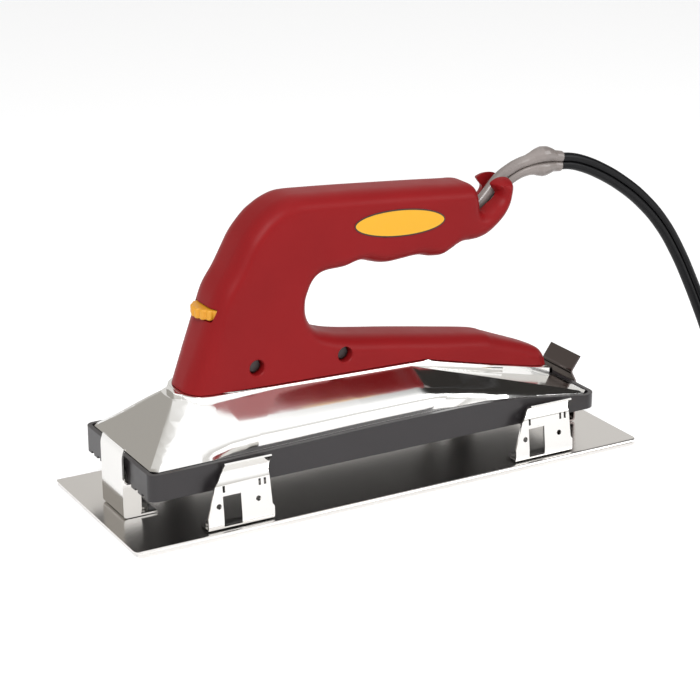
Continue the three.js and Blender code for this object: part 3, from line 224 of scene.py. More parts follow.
# %% [markdown]
# ### Makers of plastic and metal
# All plastics here differ only in a few numbers, and so do all metals, so one function makes each
# kind. What is the same all over a piece, such as the metal's colour or the plastic's coat, is set
# on the shader itself. Only what changes over the surface comes through a group.

# %% Plastic and metal makers
GRAIN_DEPTH = 0.05 * MM
HAIR_DEPTH = 0.02 * MM


def start_material(name):
    material = bpy.data.materials.new(name)
    material.use_nodes = True
    return material, material.node_tree, material.node_tree.nodes["Principled BSDF"]


def place_effect(tree, effect, values):
    """A shared effect in a material, with this material's own numbers."""
    group = add_node(tree, "ShaderNodeGroup", node_tree=effect)
    for label, value in values.items():
        group.inputs[label].default_value = value
    return group


def bump(tree, shader, height, strength, distance):
    node = add_node(tree, "ShaderNodeBump")
    node.inputs["Strength"].default_value = strength
    node.inputs["Distance"].default_value = distance
    feed(tree, height, node.inputs["Height"])
    feed(tree, node.outputs["Normal"], shader.inputs["Normal"])


def moulded(name, colour, roughness, cloud=0.1, grain=1500.0, strength=0.25, specular=0.5, coat=0.0):
    material, tree, shader = start_material(name)
    group = place_effect(tree, GRAIN, {
        "Colour": (*colour, 1), "Cloud": cloud, "Grain scale": grain,
        "Low roughness": roughness[0], "High roughness": roughness[1]})
    feed(tree, group.outputs["Colour"], shader.inputs["Base Color"])
    feed(tree, group.outputs["Roughness"], shader.inputs["Roughness"])
    shader.inputs["Specular IOR Level"].default_value = specular
    shader.inputs["Coat Weight"].default_value = coat
    bump(tree, shader, group.outputs["Height"], strength, GRAIN_DEPTH)
    return material


def polished(name, colour, roughness, hair=900.0, strength=0.02):
    material, tree, shader = start_material(name)
    group = place_effect(tree, POLISH, {
        "Low roughness": roughness[0], "High roughness": roughness[1], "Hair scale": hair})
    shader.inputs["Base Color"].default_value = (*colour, 1)
    shader.inputs["Metallic"].default_value = 1.0
    feed(tree, group.outputs["Roughness"], shader.inputs["Roughness"])
    bump(tree, shader, group.outputs["Height"], strength, HAIR_DEPTH)
    return material


# %% Plastic finishes
red_plastic = moulded("red handle plastic", (0.265, 0.008, 0.010), (0.38, 0.5),
                      cloud=0.2, grain=1700.0, specular=0.16)
yellow_plastic = moulded("yellow wheel plastic", (0.80, 0.36, 0.02), (0.35, 0.5), cloud=0.2)
yellow_label = moulded("yellow label film", (0.87, 0.44, 0.012), (0.28, 0.36), cloud=0.05, strength=0.05)
label_border = moulded("dark label border", (0.03, 0.012, 0.01), (0.3, 0.4), cloud=0.05, strength=0.05)
black_cord = moulded("black cord jacket", (0.006, 0.006, 0.007), (0.3, 0.42),
                     cloud=0.3, grain=2500.0, specular=0.2)
black_plug = moulded("black moulded plug", (0.02, 0.02, 0.022), (0.4, 0.55), cloud=0.3)
grey_sleeve = moulded("grey sleeve", (0.27, 0.235, 0.22), (0.2, 0.34), cloud=0.6, grain=900.0, coat=0.3)
dark_sole = moulded("dark sole coating", (0.022, 0.019, 0.021), (0.26, 0.38),
                    cloud=0.3, grain=2200.0, strength=0.15)
red_lead = moulded("red lead jacket", (0.45, 0.02, 0.02), (0.4, 0.5))
white_lead = moulded("white lead jacket", (0.72, 0.70, 0.65), (0.5, 0.6))
ceramic = moulded("thermostat ceramic", (0.75, 0.70, 0.6), (0.6, 0.75), cloud=0.2)
print("last plastic made:", ceramic.name)

# %% Metal finishes
mirror_hood = polished("mirror hood", (0.86, 0.855, 0.84), (0.09, 0.15))
bright_sheet = polished("bright sheet", (0.80, 0.79, 0.77), (0.06, 0.14))
tray_sheet = polished("tray sheet", (0.74, 0.72, 0.70), (0.17, 0.25))
plain_steel = polished("plain steel", (0.55, 0.54, 0.52), (0.22, 0.36), hair=1500.0, strength=0.1)
brass_metal = polished("brass", (0.75, 0.56, 0.25), (0.2, 0.35))
# Darker colour than the other sheet, for the latch: a painted reflection of the dark room behind it.
painted_reflection_chrome = polished("chrome with painted dark reflection", (0.16, 0.135, 0.13), (0.10, 0.2))
# Near-black colour for the handle screws: painted shade of the deep recesses they sit in.
painted_shade_screw = polished("screw with painted recess shade", (0.07, 0.06, 0.06), (0.3, 0.45))
element_steel = polished("element steel", (0.42, 0.38, 0.34), (0.3, 0.45))
print("materials in all:", len(bpy.data.materials))

# %% [markdown]
# ## The cord
# The cord is a flat twin lead: two round cores side by side, with a groove between them. On the
# real iron it hangs from the sleeve and touches the floor. Here it ends in a coil on the floor,
# as it would be put away. A curve with a bevel profile is the natural way to make it: the route
# is a list of points, and the section follows. The *Z up* twist keeps the groove level all the
# way, so the flat lead stands on its narrow edge in the coil.

# %% Cord route
CORD_WIDTH = 9.4 * MM
CORD_THICKNESS = 5.4 * MM
CORD_REST = CORD_WIDTH / 2 + 0.1 * MM
cord_route = [
    (131.5, 0, 153.45), (137.5, 0, 152.7), (145.5, 0, 150.4), (158.4, 0, 144.6), (174, 0, 135.2),
    (189.6, 0, 122.9), (204, 0, 107.6), (216, 0, 90), (227, 0, 70), (237.1, 0, 49.5), (248, 0, 27),
    (254.1, 0, 17.9), (262, 0, 11.2), (270, 0, 6.9), (276.5, 0, 5.1), (280.6, 0, 4.8),
    (283.8, 0, 4.8), (288.8, 0, 4.8)]
cord_points = [Vector(p) * MM for p in cord_route]
print("points down to the floor:", len(cord_points))

# %% Coil route: in, up one layer, and out again
COIL_RADIUS = 60 * MM
COIL_PITCH = 10.4 * MM
COIL_STEP = 11 * MM
TURNS_IN, TURNS_UP, TURNS_OUT = 2, 0.5, 2
STEPS_PER_LOOP = 24
COIL_CENTRE = Vector((293.5 * MM, -COIL_RADIUS, 0))
TIE_LIFT = 1.6 * MM
TIE_NARROWNESS = 10


def coil_point(turns):
    """Middle of the cord after so many turns. Where the tie is, the coil lies on it."""
    wound = min(turns, TURNS_IN)
    climbed = min(max(turns - TURNS_IN, 0) / TURNS_UP, 1)
    unwound = max(turns - TURNS_IN - TURNS_UP, 0)
    radius = COIL_RADIUS - COIL_PITCH * wound + COIL_PITCH * unwound
    angle = math.pi / 2 - math.tau * turns
    rise = COIL_STEP * climbed ** 2 * (3 - 2 * climbed)
    lift = TIE_LIFT * max(0, -math.cos(angle)) ** TIE_NARROWNESS
    height = CORD_REST + rise + lift
    return COIL_CENTRE + Vector((radius * math.cos(angle), radius * math.sin(angle), height))


coil_steps = int((TURNS_IN + TURNS_UP + TURNS_OUT) * STEPS_PER_LOOP)
cord_points += [coil_point(i / STEPS_PER_LOOP) for i in range(coil_steps + 1)]
print("points on the coil:", coil_steps + 1)

# %% Tail of the coil, down to the plug
PLUG_AXIS = 6.6 * MM
# Along the plug's axis and inwards in millimetres, then the share of the fall that is left.
coil_tail = [
    (-12, 0, 1), (-24, 0.3, 1), (-33, 0.9, 0.9), (-42, 2, 0.661),
    (-51, 3.3, 0.371), (-60, 4.4, 0.121), (-66, 4.8, 0.012), (-72, 4.8, 0)]

coil_end = cord_points[-1].copy()
layer_top = CORD_REST + COIL_STEP
for along, inwards, share in coil_tail:
    cord_points.append(Vector((COIL_CENTRE.x + along * MM, coil_end.y + inwards * MM,
                               PLUG_AXIS + share * (layer_top - PLUG_AXIS))))
print("points on the cord:", len(cord_points))

# %% Twin-lobed profile and the swept curve
LOBE_START, LOBE_SWEEP = -48, 276


def twin_profile(name, width, thickness, steps=14):
    """Closed outline of two round lobes side by side, as a 2-D curve."""
    lobe = thickness / 2
    spread = width / 2 - lobe
    outline = []
    for side in (1, -1):
        for i in range(steps + 1):
            turn = math.radians(LOBE_START + LOBE_SWEEP * i / steps) + (0 if side > 0 else math.pi)
            outline.append((lobe * math.cos(turn), side * spread + lobe * math.sin(turn)))
    profile = bpy.data.curves.new(name, "CURVE")
    profile.dimensions = "2D"
    spline = profile.splines.new("POLY")
    spline.points.add(len(outline) - 1)
    for point, (x, y) in zip(spline.points, outline):
        point.co = (x, y, 0, 1)
    spline.use_cyclic_u = True
    return bpy.data.objects.new(name, profile)


def swept(name, points, profile, resolution, radii=None):
    """A curve through the points that carries the profile and is closed at both ends."""
    curve = bpy.data.curves.new(name, "CURVE")
    curve.dimensions = "3D"
    curve.twist_mode = "Z_UP"
    curve.resolution_u = resolution
    curve.bevel_mode = "OBJECT"
    curve.bevel_object = profile
    curve.use_fill_caps = True
    spline = curve.splines.new("BEZIER")
    spline.bezier_points.add(len(points) - 1)
    for i, (knot, place) in enumerate(zip(spline.bezier_points, points)):
        knot.co = place
        knot.handle_left_type = knot.handle_right_type = "AUTO"
        knot.radius = radii[i] if radii else 1.0
    return link(bpy.data.objects.new(name, curve))


def as_mesh(piece):
    """Replace a curve, or a piece with modifiers, by the mesh that it shows."""
    bpy.context.view_layer.update()
    seen = piece.evaluated_get(bpy.context.evaluated_depsgraph_get())
    mesh = bpy.data.meshes.new_from_object(seen)
    name = piece.name
    bpy.data.objects.remove(piece)
    return link(bpy.data.objects.new(name, mesh))


# %% Finish of the sweep
def paint(mesh, *materials):
    """Give a mesh these materials and no others."""
    mesh.materials.clear()
    for material in materials:
        mesh.materials.append(material)


def finish_sweep(piece, material):
    """One material all over, smooth sides, and flat caps at the ends."""
    paint(piece.data, material)
    for face in piece.data.polygons:
        face.use_smooth = len(face.vertices) == 4


cord_profile = twin_profile("cord profile", CORD_WIDTH, CORD_THICKNESS)
cord = as_mesh(swept("flat_cord", cord_points, cord_profile, 5))
finish_sweep(cord, black_cord)
print("cord faces:", len(cord.data.polygons))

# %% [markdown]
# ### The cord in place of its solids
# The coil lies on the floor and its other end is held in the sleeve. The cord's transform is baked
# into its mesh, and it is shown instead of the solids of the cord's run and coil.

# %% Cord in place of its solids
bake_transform(cord)
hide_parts("cord_run", "cord_coil")
print("the cord stands for cord_run and cord_coil")

# %% [markdown]
# ## Dressed copies of the solids
# Most solids already have the right shape but razor edges. A copy with its doubles merged, its
# flat faces joined and its edges bevelled catches the light as a real pressed or moulded piece
# does. A Bevel modifier would do it too, but the operator can be told which edges are sharp once
# the shape has been changed. Weighted normals keep the flats flat and let the bevels shade smoothly.

# %% Dressing helper
SAME_PLACE = 1e-6
FLAT_ANGLE = math.radians(0.5)
FLAT_WEIGHT = 90


def dressed(node, material, body, edge=0.2, angle=30, segments=2, reshape=None):
    """A copy of a solid with soft edges that stands for it. The edge is in millimetres."""
    mesh = nodes[node].data.copy()
    shape = bmesh.new()
    shape.from_mesh(mesh)
    bmesh.ops.remove_doubles(shape, verts=shape.verts, dist=SAME_PLACE)
    bmesh.ops.dissolve_limit(shape, angle_limit=FLAT_ANGLE, verts=shape.verts, edges=shape.edges)
    if reshape:
        reshape(shape)
    sharp = [e for e in shape.edges if e.is_manifold and e.calc_face_angle() > math.radians(angle)]
    bmesh.ops.bevel(shape, geom=sharp, offset=edge * MM, offset_type="OFFSET", affect="EDGES",
                    segments=segments, profile=0.5, clamp_overlap=True, material=-1)
    for face in shape.faces:
        face.smooth = True
    shape.to_mesh(mesh)
    shape.free()
    paint(mesh, material)
    piece = link(bpy.data.objects.new(node + "_dressed", mesh))
    weighted = piece.modifiers.new("flat faces stay flat", "WEIGHTED_NORMAL")
    weighted.weight = FLAT_WEIGHT
    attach(piece, body)
    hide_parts(node)
    print(piece.name, "faces:", len(mesh.polygons))


# %% [markdown]
# ## The handle
# The handle is moulded in two halves and feels soft: its edges are rounded deeper from the sides
# than along the outline, and its nose narrows like a prow. A bevel can't round edges deeper than
# its short edges allow, so the side is meshed flat, with rings of points that follow the outline,
# and every point then gets the depth that its distance from the outline asks for. The bottom
# edge rests on the hood's platform and stays sharp. The outline is written as shares of the
# handle's length and height, from the tail round the grip to the nose.

# %% Outline of the handle
HANDLE_FRONT, HANDLE_LENGTH = -105.8, 228.6
HANDLE_FOOT, HANDLE_HEIGHT = 59.8, 100
PLATFORM_BEND, PLATFORM_FALL, NOSE_RISE = 35.54, 0.256, 3.4
CUTS_PER_SPAN = 5
ABOVE_FOOT = 0.4
arm_shares = [
    (1.004, -0.31), (1.004, -0.257), (1.001, -0.208), (0.993, -0.163), (0.976, -0.118),
    (0.945, -0.082), (0.914, -0.053), (0.867, -0.012), (0.832, 0.019), (0.795, 0.048),
    (0.673, 0.095), (0.562, 0.137), (0.48, 0.166), (0.426, 0.187), (0.385, 0.21), (0.348, 0.245),
    (0.325, 0.3), (0.315, 0.36), (0.315, 0.425), (0.321, 0.47), (0.331, 0.517), (0.345, 0.547),
    (0.366, 0.561)]
grip_shares = [
    (0.398, 0.564), (0.417, 0.568), (0.438, 0.581), (0.455, 0.587), (0.47, 0.581), (0.486, 0.569),
    (0.508, 0.556), (0.53, 0.552), (0.562, 0.557), (0.594, 0.563), (0.615, 0.561), (0.642, 0.546),
    (0.671, 0.543), (0.694, 0.563), (0.713, 0.585), (0.731, 0.597), (0.752, 0.597), (0.775, 0.6),
    (0.798, 0.615), (0.824, 0.65), (0.851, 0.704), (0.868, 0.766), (0.875, 0.83), (0.876, 0.87),
    (0.87, 0.9), (0.857, 0.915), (0.839, 0.917), (0.824, 0.907), (0.815, 0.89), (0.82, 0.866),
    (0.828, 0.845), (0.829, 0.826), (0.82, 0.802), (0.806, 0.782), (0.793, 0.762), (0.785, 0.756),
    (0.78, 0.768), (0.779, 0.795), (0.776, 0.838), (0.768, 0.885), (0.756, 0.908), (0.738, 0.916)]
top_shares = [
    (0.715, 0.919), (0.613, 0.938), (0.506, 0.956), (0.427, 0.969), (0.349, 0.98),
    (0.298, 0.986), (0.272, 0.98), (0.246, 0.96), (0.225, 0.934), (0.205, 0.903), (0.184, 0.856),
    (0.163, 0.798), (0.143, 0.719), (0.122, 0.635), (0.0915, 0.53), (0.068, 0.385), (0.04, 0.215),
    (0.018, 0.085), (0.004, 0)]


def on_handle(shares):
    return [(HANDLE_FRONT + along * HANDLE_LENGTH, HANDLE_FOOT + up * HANDLE_HEIGHT)
            for along, up in shares]


def smooth_line(points, cuts):
    """A smooth cubic curve through the points, cut into short straight steps."""
    p = np.array([points[0], *points, points[-1]])
    t = np.arange(cuts)[:, None] / cuts
    line = [0.5 * (2 * b + (c - a) * t + (2 * a - 5 * b + 4 * c - d) * t ** 2
                   + (3 * b - a - 3 * c + d) * t ** 3)
            for a, b, c, d in zip(p, p[1:], p[2:], p[3:])]
    return np.vstack([*line, p[-1:]])


def seam_height(x):
    """Height of the handle's foot: it rises to the nose and falls to the tail."""
    rise = NOSE_RISE * np.maximum(PLATFORM_BEND - x, 0) / (PLATFORM_BEND - HANDLE_FRONT)
    return HANDLE_FOOT + rise - PLATFORM_FALL * np.maximum(x - PLATFORM_BEND, 0)


edge_line = smooth_line(on_handle(arm_shares + grip_shares + top_shares), CUTS_PER_SPAN)
above = edge_line[edge_line[:, 1] > seam_height(edge_line[:, 0]) + ABOVE_FOOT]
print("points on the outline:", len(above))

# %% [markdown]
# ### How deep each point of the side lies
# Seen in section, the rounding is a quarter of an ellipse, 12 mm deep and 7 mm along the side.
# The distance from the outline gives the place on that ellipse. The plan then narrows the whole
# handle towards the nose and the tail. For the distance alone, the outline runs on below the
# foot at both ends, so the bottom edge isn't rounded.

# %% Depth of the side
HANDLE_HALF = 16.5
ROUND_ALONG, ROUND_DEEP = 7.0, 12.0
PROW_LEAN = 0.2
NOSE_BELOW = (HANDLE_FRONT + 0.004 * HANDLE_LENGTH, 20.0)
TAIL_BELOW = (HANDLE_FRONT + 1.004 * HANDLE_LENGTH, 0.0)
plan_shares = [
    (0, 0.55), (0.003, 0.68), (0.011, 0.82), (0.03, 0.93), (0.06, 1), (0.65, 1), (0.8, 0.88),
    (0.93, 0.66), (0.985, 0.52), (1.002, 0.4)]
rim_line = np.vstack([[TAIL_BELOW], edge_line, [NOSE_BELOW]])


def edge_distance(points):
    """Distance of each point from the outline, without its foot."""
    start, step = rim_line[:-1], np.diff(rim_line, axis=0)
    length = np.maximum((step ** 2).sum(1), 1e-12)
    away = points[:, None, :] - start[None]
    share = np.clip((away * step[None]).sum(2) / length, 0, 1)
    return np.sqrt(((away - share[:, :, None] * step[None]) ** 2).sum(2)).min(1)


def side_depth(points):
    """Half of the handle's width at each point of the side."""
    inside = 1 - np.minimum(edge_distance(points), ROUND_ALONG) / ROUND_ALONG
    depth = HANDLE_HALF - ROUND_DEEP + ROUND_DEEP * np.sqrt(1 - inside ** 2)
    leaned = points[:, 0] - HANDLE_FRONT - PROW_LEAN * (points[:, 1] - HANDLE_FOOT)
    return depth * np.interp(leaned / HANDLE_LENGTH, *zip(*plan_shares))


print("half width by the grip, mm:", side_depth(np.array([[0.0, 135.0]])).round(1)[0])

# %% [markdown]
# ### Points of the side
# A flat triangulation needs points where the surface bends. Rings inside the outline are close
# together where the rounding is steep, a coarse grid fills the flat middle, and the foot gets its
# own row of points. Where the outline turns a corner, the rings fan out round it.

# %% Rings of points
FAN_ANGLE = 9
RING_SLACK = 0.04


def rings_inside(line, distances):
    """Points at set distances inside a line, with a fan round its inner corners."""
    step = np.gradient(line, axis=0)
    inward = np.stack([-step[:, 1], step[:, 0]], 1)
    inward /= np.linalg.norm(inward, axis=1)[:, None]
    found = []
    for a, b, place_a, place_b in zip(inward, inward[1:], line, line[1:]):
        fans = max(1, int(math.degrees(math.acos(np.clip(a @ b, -1, 1))) / FAN_ANGLE))
        for i in range(fans):
            way = (1 - i / fans) * a + i / fans * b
            way /= np.linalg.norm(way)
            place = (1 - i / fans) * place_a + i / fans * place_b
            found += [(place + far * way, far) for far in distances]
    places = np.array([p for p, _ in found])
    wanted = np.array([far for _, far in found])
    return places[edge_distance(places) > wanted - RING_SLACK]


def inside_outline(points, outline):
    """True for points within a closed outline."""
    crossings = np.zeros(len(points), bool)
    for (x0, z0), (x1, z1) in zip(outline, np.roll(outline, -1, axis=0)):
        spans = (z0 > points[:, 1]) != (z1 > points[:, 1])
        with np.errstate(divide="ignore", invalid="ignore"):
            left = points[:, 0] < x0 + (points[:, 1] - z0) * (x1 - x0) / (z1 - z0)
        crossings ^= spans & left
    return crossings


ring_angles = (11, 22, 33, 45, 56, 67, 78, 90)
ring_distances = [ROUND_ALONG * (1 - math.cos(math.radians(a))) for a in ring_angles]
rings = rings_inside(edge_line, ring_distances)
print("points on the rings:", len(rings))

# %% Row along the foot, and the grid
FOOT_STEP, FROM_NOSE, FROM_TAIL = 2.5, 9, 8
GRID_STEP, GRID_ALONG, GRID_UP = 4.0, (-110, 125), (30, 160)
CLEAR_OF_RINGS, CLEAR_OF_FOOT = 1, 0.5

tail_x, nose_x = above[0, 0], above[-1, 0]
seam_x = np.array(sorted({
    nose_x, *(nose_x + d for d in ring_distances),
    *np.arange(nose_x + FROM_NOSE, tail_x - FROM_TAIL, FOOT_STEP),
    *(tail_x - d for d in ring_distances), tail_x}))
seam = np.stack([seam_x, seam_height(seam_x)], 1)
outline = np.vstack([seam, above])
grid_x, grid_z = np.meshgrid(np.arange(*GRID_ALONG, GRID_STEP), np.arange(*GRID_UP, GRID_STEP))
grid = np.stack([grid_x.ravel(), grid_z.ravel()], 1)
grid = grid[edge_distance(grid) > ROUND_ALONG + CLEAR_OF_RINGS]
fill = np.vstack([rings, grid])
fill = fill[inside_outline(fill, outline) & (fill[:, 1] > seam_height(fill[:, 0]) + CLEAR_OF_FOOT)]
print("points inside:", len(fill))

# %% [markdown]
# ### Two sides make a closed handle
# The triangulated side is pushed out to its depth on the near side. Its mirrored twin is the far
# side, and a bridge between their two rims closes the handle all round.

# %% The two sides, joined all round
INSIDE_ONLY, SAME_POINT = 1, 1e-4


def new_verts(result):
    """The vertices among the geometry that an operator made."""
    return [g for g in result["geom"] if isinstance(g, bmesh.types.BMVert)]


flat = [Vector(p) for p in np.vstack([outline, fill])]
corners, _, triangles, *_ = delaunay_2d_cdt(
    flat, [], [list(range(len(outline)))], INSIDE_ONLY, SAME_POINT)
places = np.array([tuple(c) for c in corners])
handle_shape = bmesh.new()
for (x, z), y in zip(places, side_depth(places)):
    handle_shape.verts.new((x * MM, -y * MM, z * MM))
handle_shape.verts.ensure_lookup_table()
for triangle in triangles:
    handle_shape.faces.new([handle_shape.verts[i] for i in triangle])
bmesh.ops.remove_doubles(handle_shape, verts=handle_shape.verts, dist=0.05 * MM)
one_side = handle_shape.faces[:] + handle_shape.edges[:] + handle_shape.verts[:]
twin = bmesh.ops.duplicate(handle_shape, geom=one_side)
bmesh.ops.scale(handle_shape, vec=(1, -1, 1), verts=new_verts(twin))
bmesh.ops.bridge_loops(handle_shape, edges=[e for e in handle_shape.edges if e.is_boundary])
bmesh.ops.recalc_face_normals(handle_shape, faces=handle_shape.faces)
print("open edges:", sum(e.is_boundary for e in handle_shape.edges), "faces:", len(handle_shape.faces))

# %% [markdown]
# ### What is cut into the handle
# The thumbwheel turns in a slot that the nose leaves open in front, the screws sit deep in round
# recesses, and the sleeve lies in a channel between the two prongs of the claw. Each cut is a
# simple closed shape taken away by an exact boolean.


# %% Cutting tools
def object_from(name, shape):
    """A new object that holds the bmesh."""
    mesh = bpy.data.meshes.new(name)
    shape.to_mesh(mesh)
    shape.free()
    return link(bpy.data.objects.new(name, mesh))


def cutter_from(name, shape):
    bmesh.ops.recalc_face_normals(shape, faces=shape.faces)
    return object_from(name, shape)


def pull(shape, faces, way):
    """Extrude faces and move the new ones, so a flat outline becomes a closed solid."""
    grown = bmesh.ops.extrude_face_region(shape, geom=faces)
    bmesh.ops.translate(shape, vec=way, verts=new_verts(grown))


def round_cutter(name, radii, low, high, place, turn=None, sides=64):
    """A bar between two heights on its own axis, turned and moved to its place."""
    shape = bmesh.new()
    bmesh.ops.create_cone(shape, cap_ends=True, segments=sides, radius1=radii[0] * MM,
                          radius2=radii[1] * MM, depth=(high - low) * MM)
    bmesh.ops.translate(shape, vec=(0, 0, (low + high) / 2 * MM), verts=shape.verts)
    if turn:
        bmesh.ops.rotate(shape, cent=(0, 0, 0), matrix=turn, verts=shape.verts)
    bmesh.ops.translate(shape, vec=Vector(place) * MM, verts=shape.verts)
    return cutter_from(name, shape)


# %% Room for the wheel and its hub
DIAL_PLACE = (-81.0, 0, 102.5)
WHEEL_RADIUS, WHEEL_PLAY, SLOT_HALF = 12.6, 0.7, 3.4
HUB_ROOM, HUB_DEPTH = 5.2, 8.4
cutters = [
    round_cutter("wheel room", (WHEEL_RADIUS + WHEEL_PLAY,) * 2, -SLOT_HALF, SLOT_HALF, DIAL_PLACE),
    round_cutter("hub room", (HUB_ROOM, HUB_ROOM), -HUB_DEPTH, 0, DIAL_PLACE)]
print("wheel slot, mm:", 2 * SLOT_HALF)

# %% Recesses of the screws
SCREW_PLACES = [(-65.57, -16.5, 72.6), (-13.9, -16.5, 70.9), (10.1, -16.5, 135.8)]
FACE_NEAR = Matrix.Rotation(math.pi / 2, 3, "X")
RECESS_SIDES = 40
# Radii at the lower and upper end, and both ends along the screw's axis.
RECESS_PARTS = {"recess": ((4.2, 4.2), -7, 5), "mouth": ((4.0, 5.6), -0.8, 0.8)}
for i, place in enumerate(SCREW_PLACES):
    for part, measures in RECESS_PARTS.items():
        name = f"screw {part} {i}"
        cutters.append(round_cutter(name, *measures, place, FACE_NEAR, RECESS_SIDES))
print("screw recesses:", len(SCREW_PLACES))

# %% Channel of the sleeve
CHANNEL_HALF = 6.2
channel_shares = [(0.784, 0.70), (0.81, 0.695), (0.8487, 0.748), (0.9, 0.81), (0.95, 0.95),
                  (0.95, 1.1), (0.784, 1.1)]
channel = bmesh.new()
ring = [channel.verts.new((x * MM, -CHANNEL_HALF * MM, z * MM)) for x, z in on_handle(channel_shares)]
pull(channel, [channel.faces.new(ring)], (0, 2 * CHANNEL_HALF * MM, 0))
cutters.append(cutter_from("sleeve channel", channel))
print("cutters:", len(cutters))

# %% [markdown]
# ### The finished handle
# The booleans are applied at once and the tools are thrown away, so the handle is a plain mesh.
# It is shaded smoothly, except where two faces meet at a real edge, such as a recess's mouth.


# %% The finished handle
def shade_smooth(mesh, sharp_angle):
    """Smooth shading that stops at edges sharper than the angle, in degrees."""
    for face in mesh.polygons:
        face.use_smooth = True
    mesh.set_sharp_from_angle(angle=math.radians(sharp_angle))


handle = object_from("handle_moulding", handle_shape)
for tool in cutters:
    cut = handle.modifiers.new(tool.name, "BOOLEAN")
    cut.operation = "DIFFERENCE"
    cut.solver = "EXACT"
    cut.object = tool
handle = as_mesh(handle)
for tool in cutters:
    bpy.data.objects.remove(tool)
shade_smooth(handle.data, 38)
paint(handle.data, red_plastic)
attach(handle, "iron")
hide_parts("handle_shell_near", "handle_shell_far")
print("handle faces:", len(handle.data.polygons))

# %% [markdown]
# ## The hood
# The pressed hood isn't made of flat facets: its long sides swell below the crease of the roof,
# and the platform under the handle climbs towards the nose. A subdivided cage would lose the
# crisp creases. Instead a copy of the solid is sliced into bands with bisecting planes, which
# change nothing yet, and then the points of the bands are moved. The eave of the hood rises and
# falls along its length, so the bands follow the hood's own levels, from 0 at the eave to 1 at
# the crease. For the slicing, the points go to a flattened space in which each level is a plane.

# %% Measures of the hood
HOOD_FRONT, HOOD_REAR = -135.4, 129.2
ROOF_TOP, ROOF_TAIL, ROOF_BEND = 58.3, 30.8, 24.9
EAVE_BASE, RIM_HEIGHT = 22.8, 16.3
LEAST_HEIGHT = 2
rim_shares = [(0, 0.865), (0.15, 0.895), (0.3, 0.935), (0.45, 0.985), (0.58, 1), (0.7, 1),
              (0.79, 0.908), (0.863, 0.761), (0.93, 0.6), (1, 0.448)]


def ease(start, end, x):
    """0 before start, 1 after end, and a soft step between."""
    t = min(max((x - start) / (end - start), 0), 1)
    return t * t * (3 - 2 * t)


def eave_and_height(x):
    """Share of the hood's length at x, height of its eave, and from there to the crease."""
    share = (x - HOOD_FRONT) / (HOOD_REAR - HOOD_FRONT)
    eave = EAVE_BASE + RIM_HEIGHT * float(np.interp(share, *zip(*rim_shares)))
    crease = ROOF_TOP - max(0, x - ROOF_BEND) * (ROOF_TOP - ROOF_TAIL) / (HOOD_REAR - ROOF_BEND)
    return share, eave, max(crease - eave, LEAST_HEIGHT)


print("eave and height in the middle, mm:", [round(v, 1) for v in eave_and_height(0)[1:]])

# %% Slices across the hood, and along its levels
FINE_COLUMNS, COARSE_COLUMNS = range(-132, -92, 4), range(-92, 124, 8)
CLEAR_OF_BEND = 1.5
LEVEL_SPAN = 20
LEVEL_CUTS = (0.05, 0.1, 0.15, 0.2, 0.25, 0.3, 0.36, 0.43, 0.5, 0.6, 0.7, 0.8, 0.9, 0.96)
rim_bends = [HOOD_FRONT + s * (HOOD_REAR - HOOD_FRONT) for s, _ in rim_shares[1:-1]]
even_columns = [x for x in [*FINE_COLUMNS, *COARSE_COLUMNS]
                if min(abs(x - b) for b in rim_bends) > CLEAR_OF_BEND]


def slice_at(shape, place, normal):
    whole = shape.verts[:] + shape.edges[:] + shape.faces[:]
    bmesh.ops.bisect_plane(shape, geom=whole, dist=SAME_PLACE, plane_co=place, plane_no=normal)


def slice_hood(shape):
    """Cut the hood into bands. It is left in the flattened space, LEVEL_SPAN to a level."""
    for x in rim_bends + even_columns:
        slice_at(shape, (x * MM, 0, 0), (1, 0, 0))
    for vert in shape.verts:
        _, eave, height = eave_and_height(vert.co.x / MM)
        vert.co.z = (vert.co.z - eave * MM) / height * LEVEL_SPAN
    for level in LEVEL_CUTS:
        slice_at(shape, (0, 0, level * LEVEL_SPAN * MM), (0, 0, 1))


print("slices:", len(rim_bends + even_columns), "across and", len(LEVEL_CUTS), "along")

# %% [markdown]
# ### How the hood swells and lifts
# The swelling starts with a tight shoulder just over the eave and dies away towards the crease.
# It grows from the nose and fades towards the tail. Each point goes out and up at once, as sheet
# does over a press tool. The lift raises the platform towards the nose, and takes the roof below
# it along, less and less with the level, so the eave stays where it is.

# %% Hood with swollen sides
SWELL, SHOULDER, BULGE, BULGE_POWER = 0.42, 0.17, 1.4, 1.3
SWELL_IN, SWELL_OUT = (0.03, 0.21), (0.58, 0.9)
PUSH_ASIDE, PUSH_UP = 0.73, 0.68
RIDGE_HALF = 6
PLATFORM_LEVEL = 1.02
NOSE_START, NOSE_LENGTH, NOSE_SHARE = 112, 50, 0.25


def press_hood(shape):
    """Slice the hood along its own levels, then swell its sides and lift its nose."""
    slice_hood(shape)
    for vert in shape.verts:
        x, y, level = vert.co.x / MM, vert.co.y / MM, vert.co.z / MM / LEVEL_SPAN
        share, eave, height = eave_and_height(x)
        z = eave + level * height
        if 0 < level < 1:
            bulge = BULGE * (1 - level) * (1 - math.exp(-(level / SHOULDER) ** BULGE_POWER))
            push = SWELL * height * bulge * ease(*SWELL_IN, share) * (1 - ease(*SWELL_OUT, share))
            y += math.copysign(PUSH_ASIDE * push, y) if abs(y) > RIDGE_HALF else 0
            z += PUSH_UP * push
        lift = NOSE_RISE * max(0, PLATFORM_BEND - x) / (PLATFORM_BEND - HANDLE_FRONT)
        nose = 1 - NOSE_SHARE + NOSE_SHARE * min(max((x + NOSE_START) / NOSE_LENGTH, 0), 1)
        z += lift * (1 if level > PLATFORM_LEVEL else max(level, 0) ** 2 * nose)
        vert.co = Vector((x, y, z)) * MM


dressed("hood", mirror_hood, "iron", edge=0.5, angle=22, reshape=press_hood)

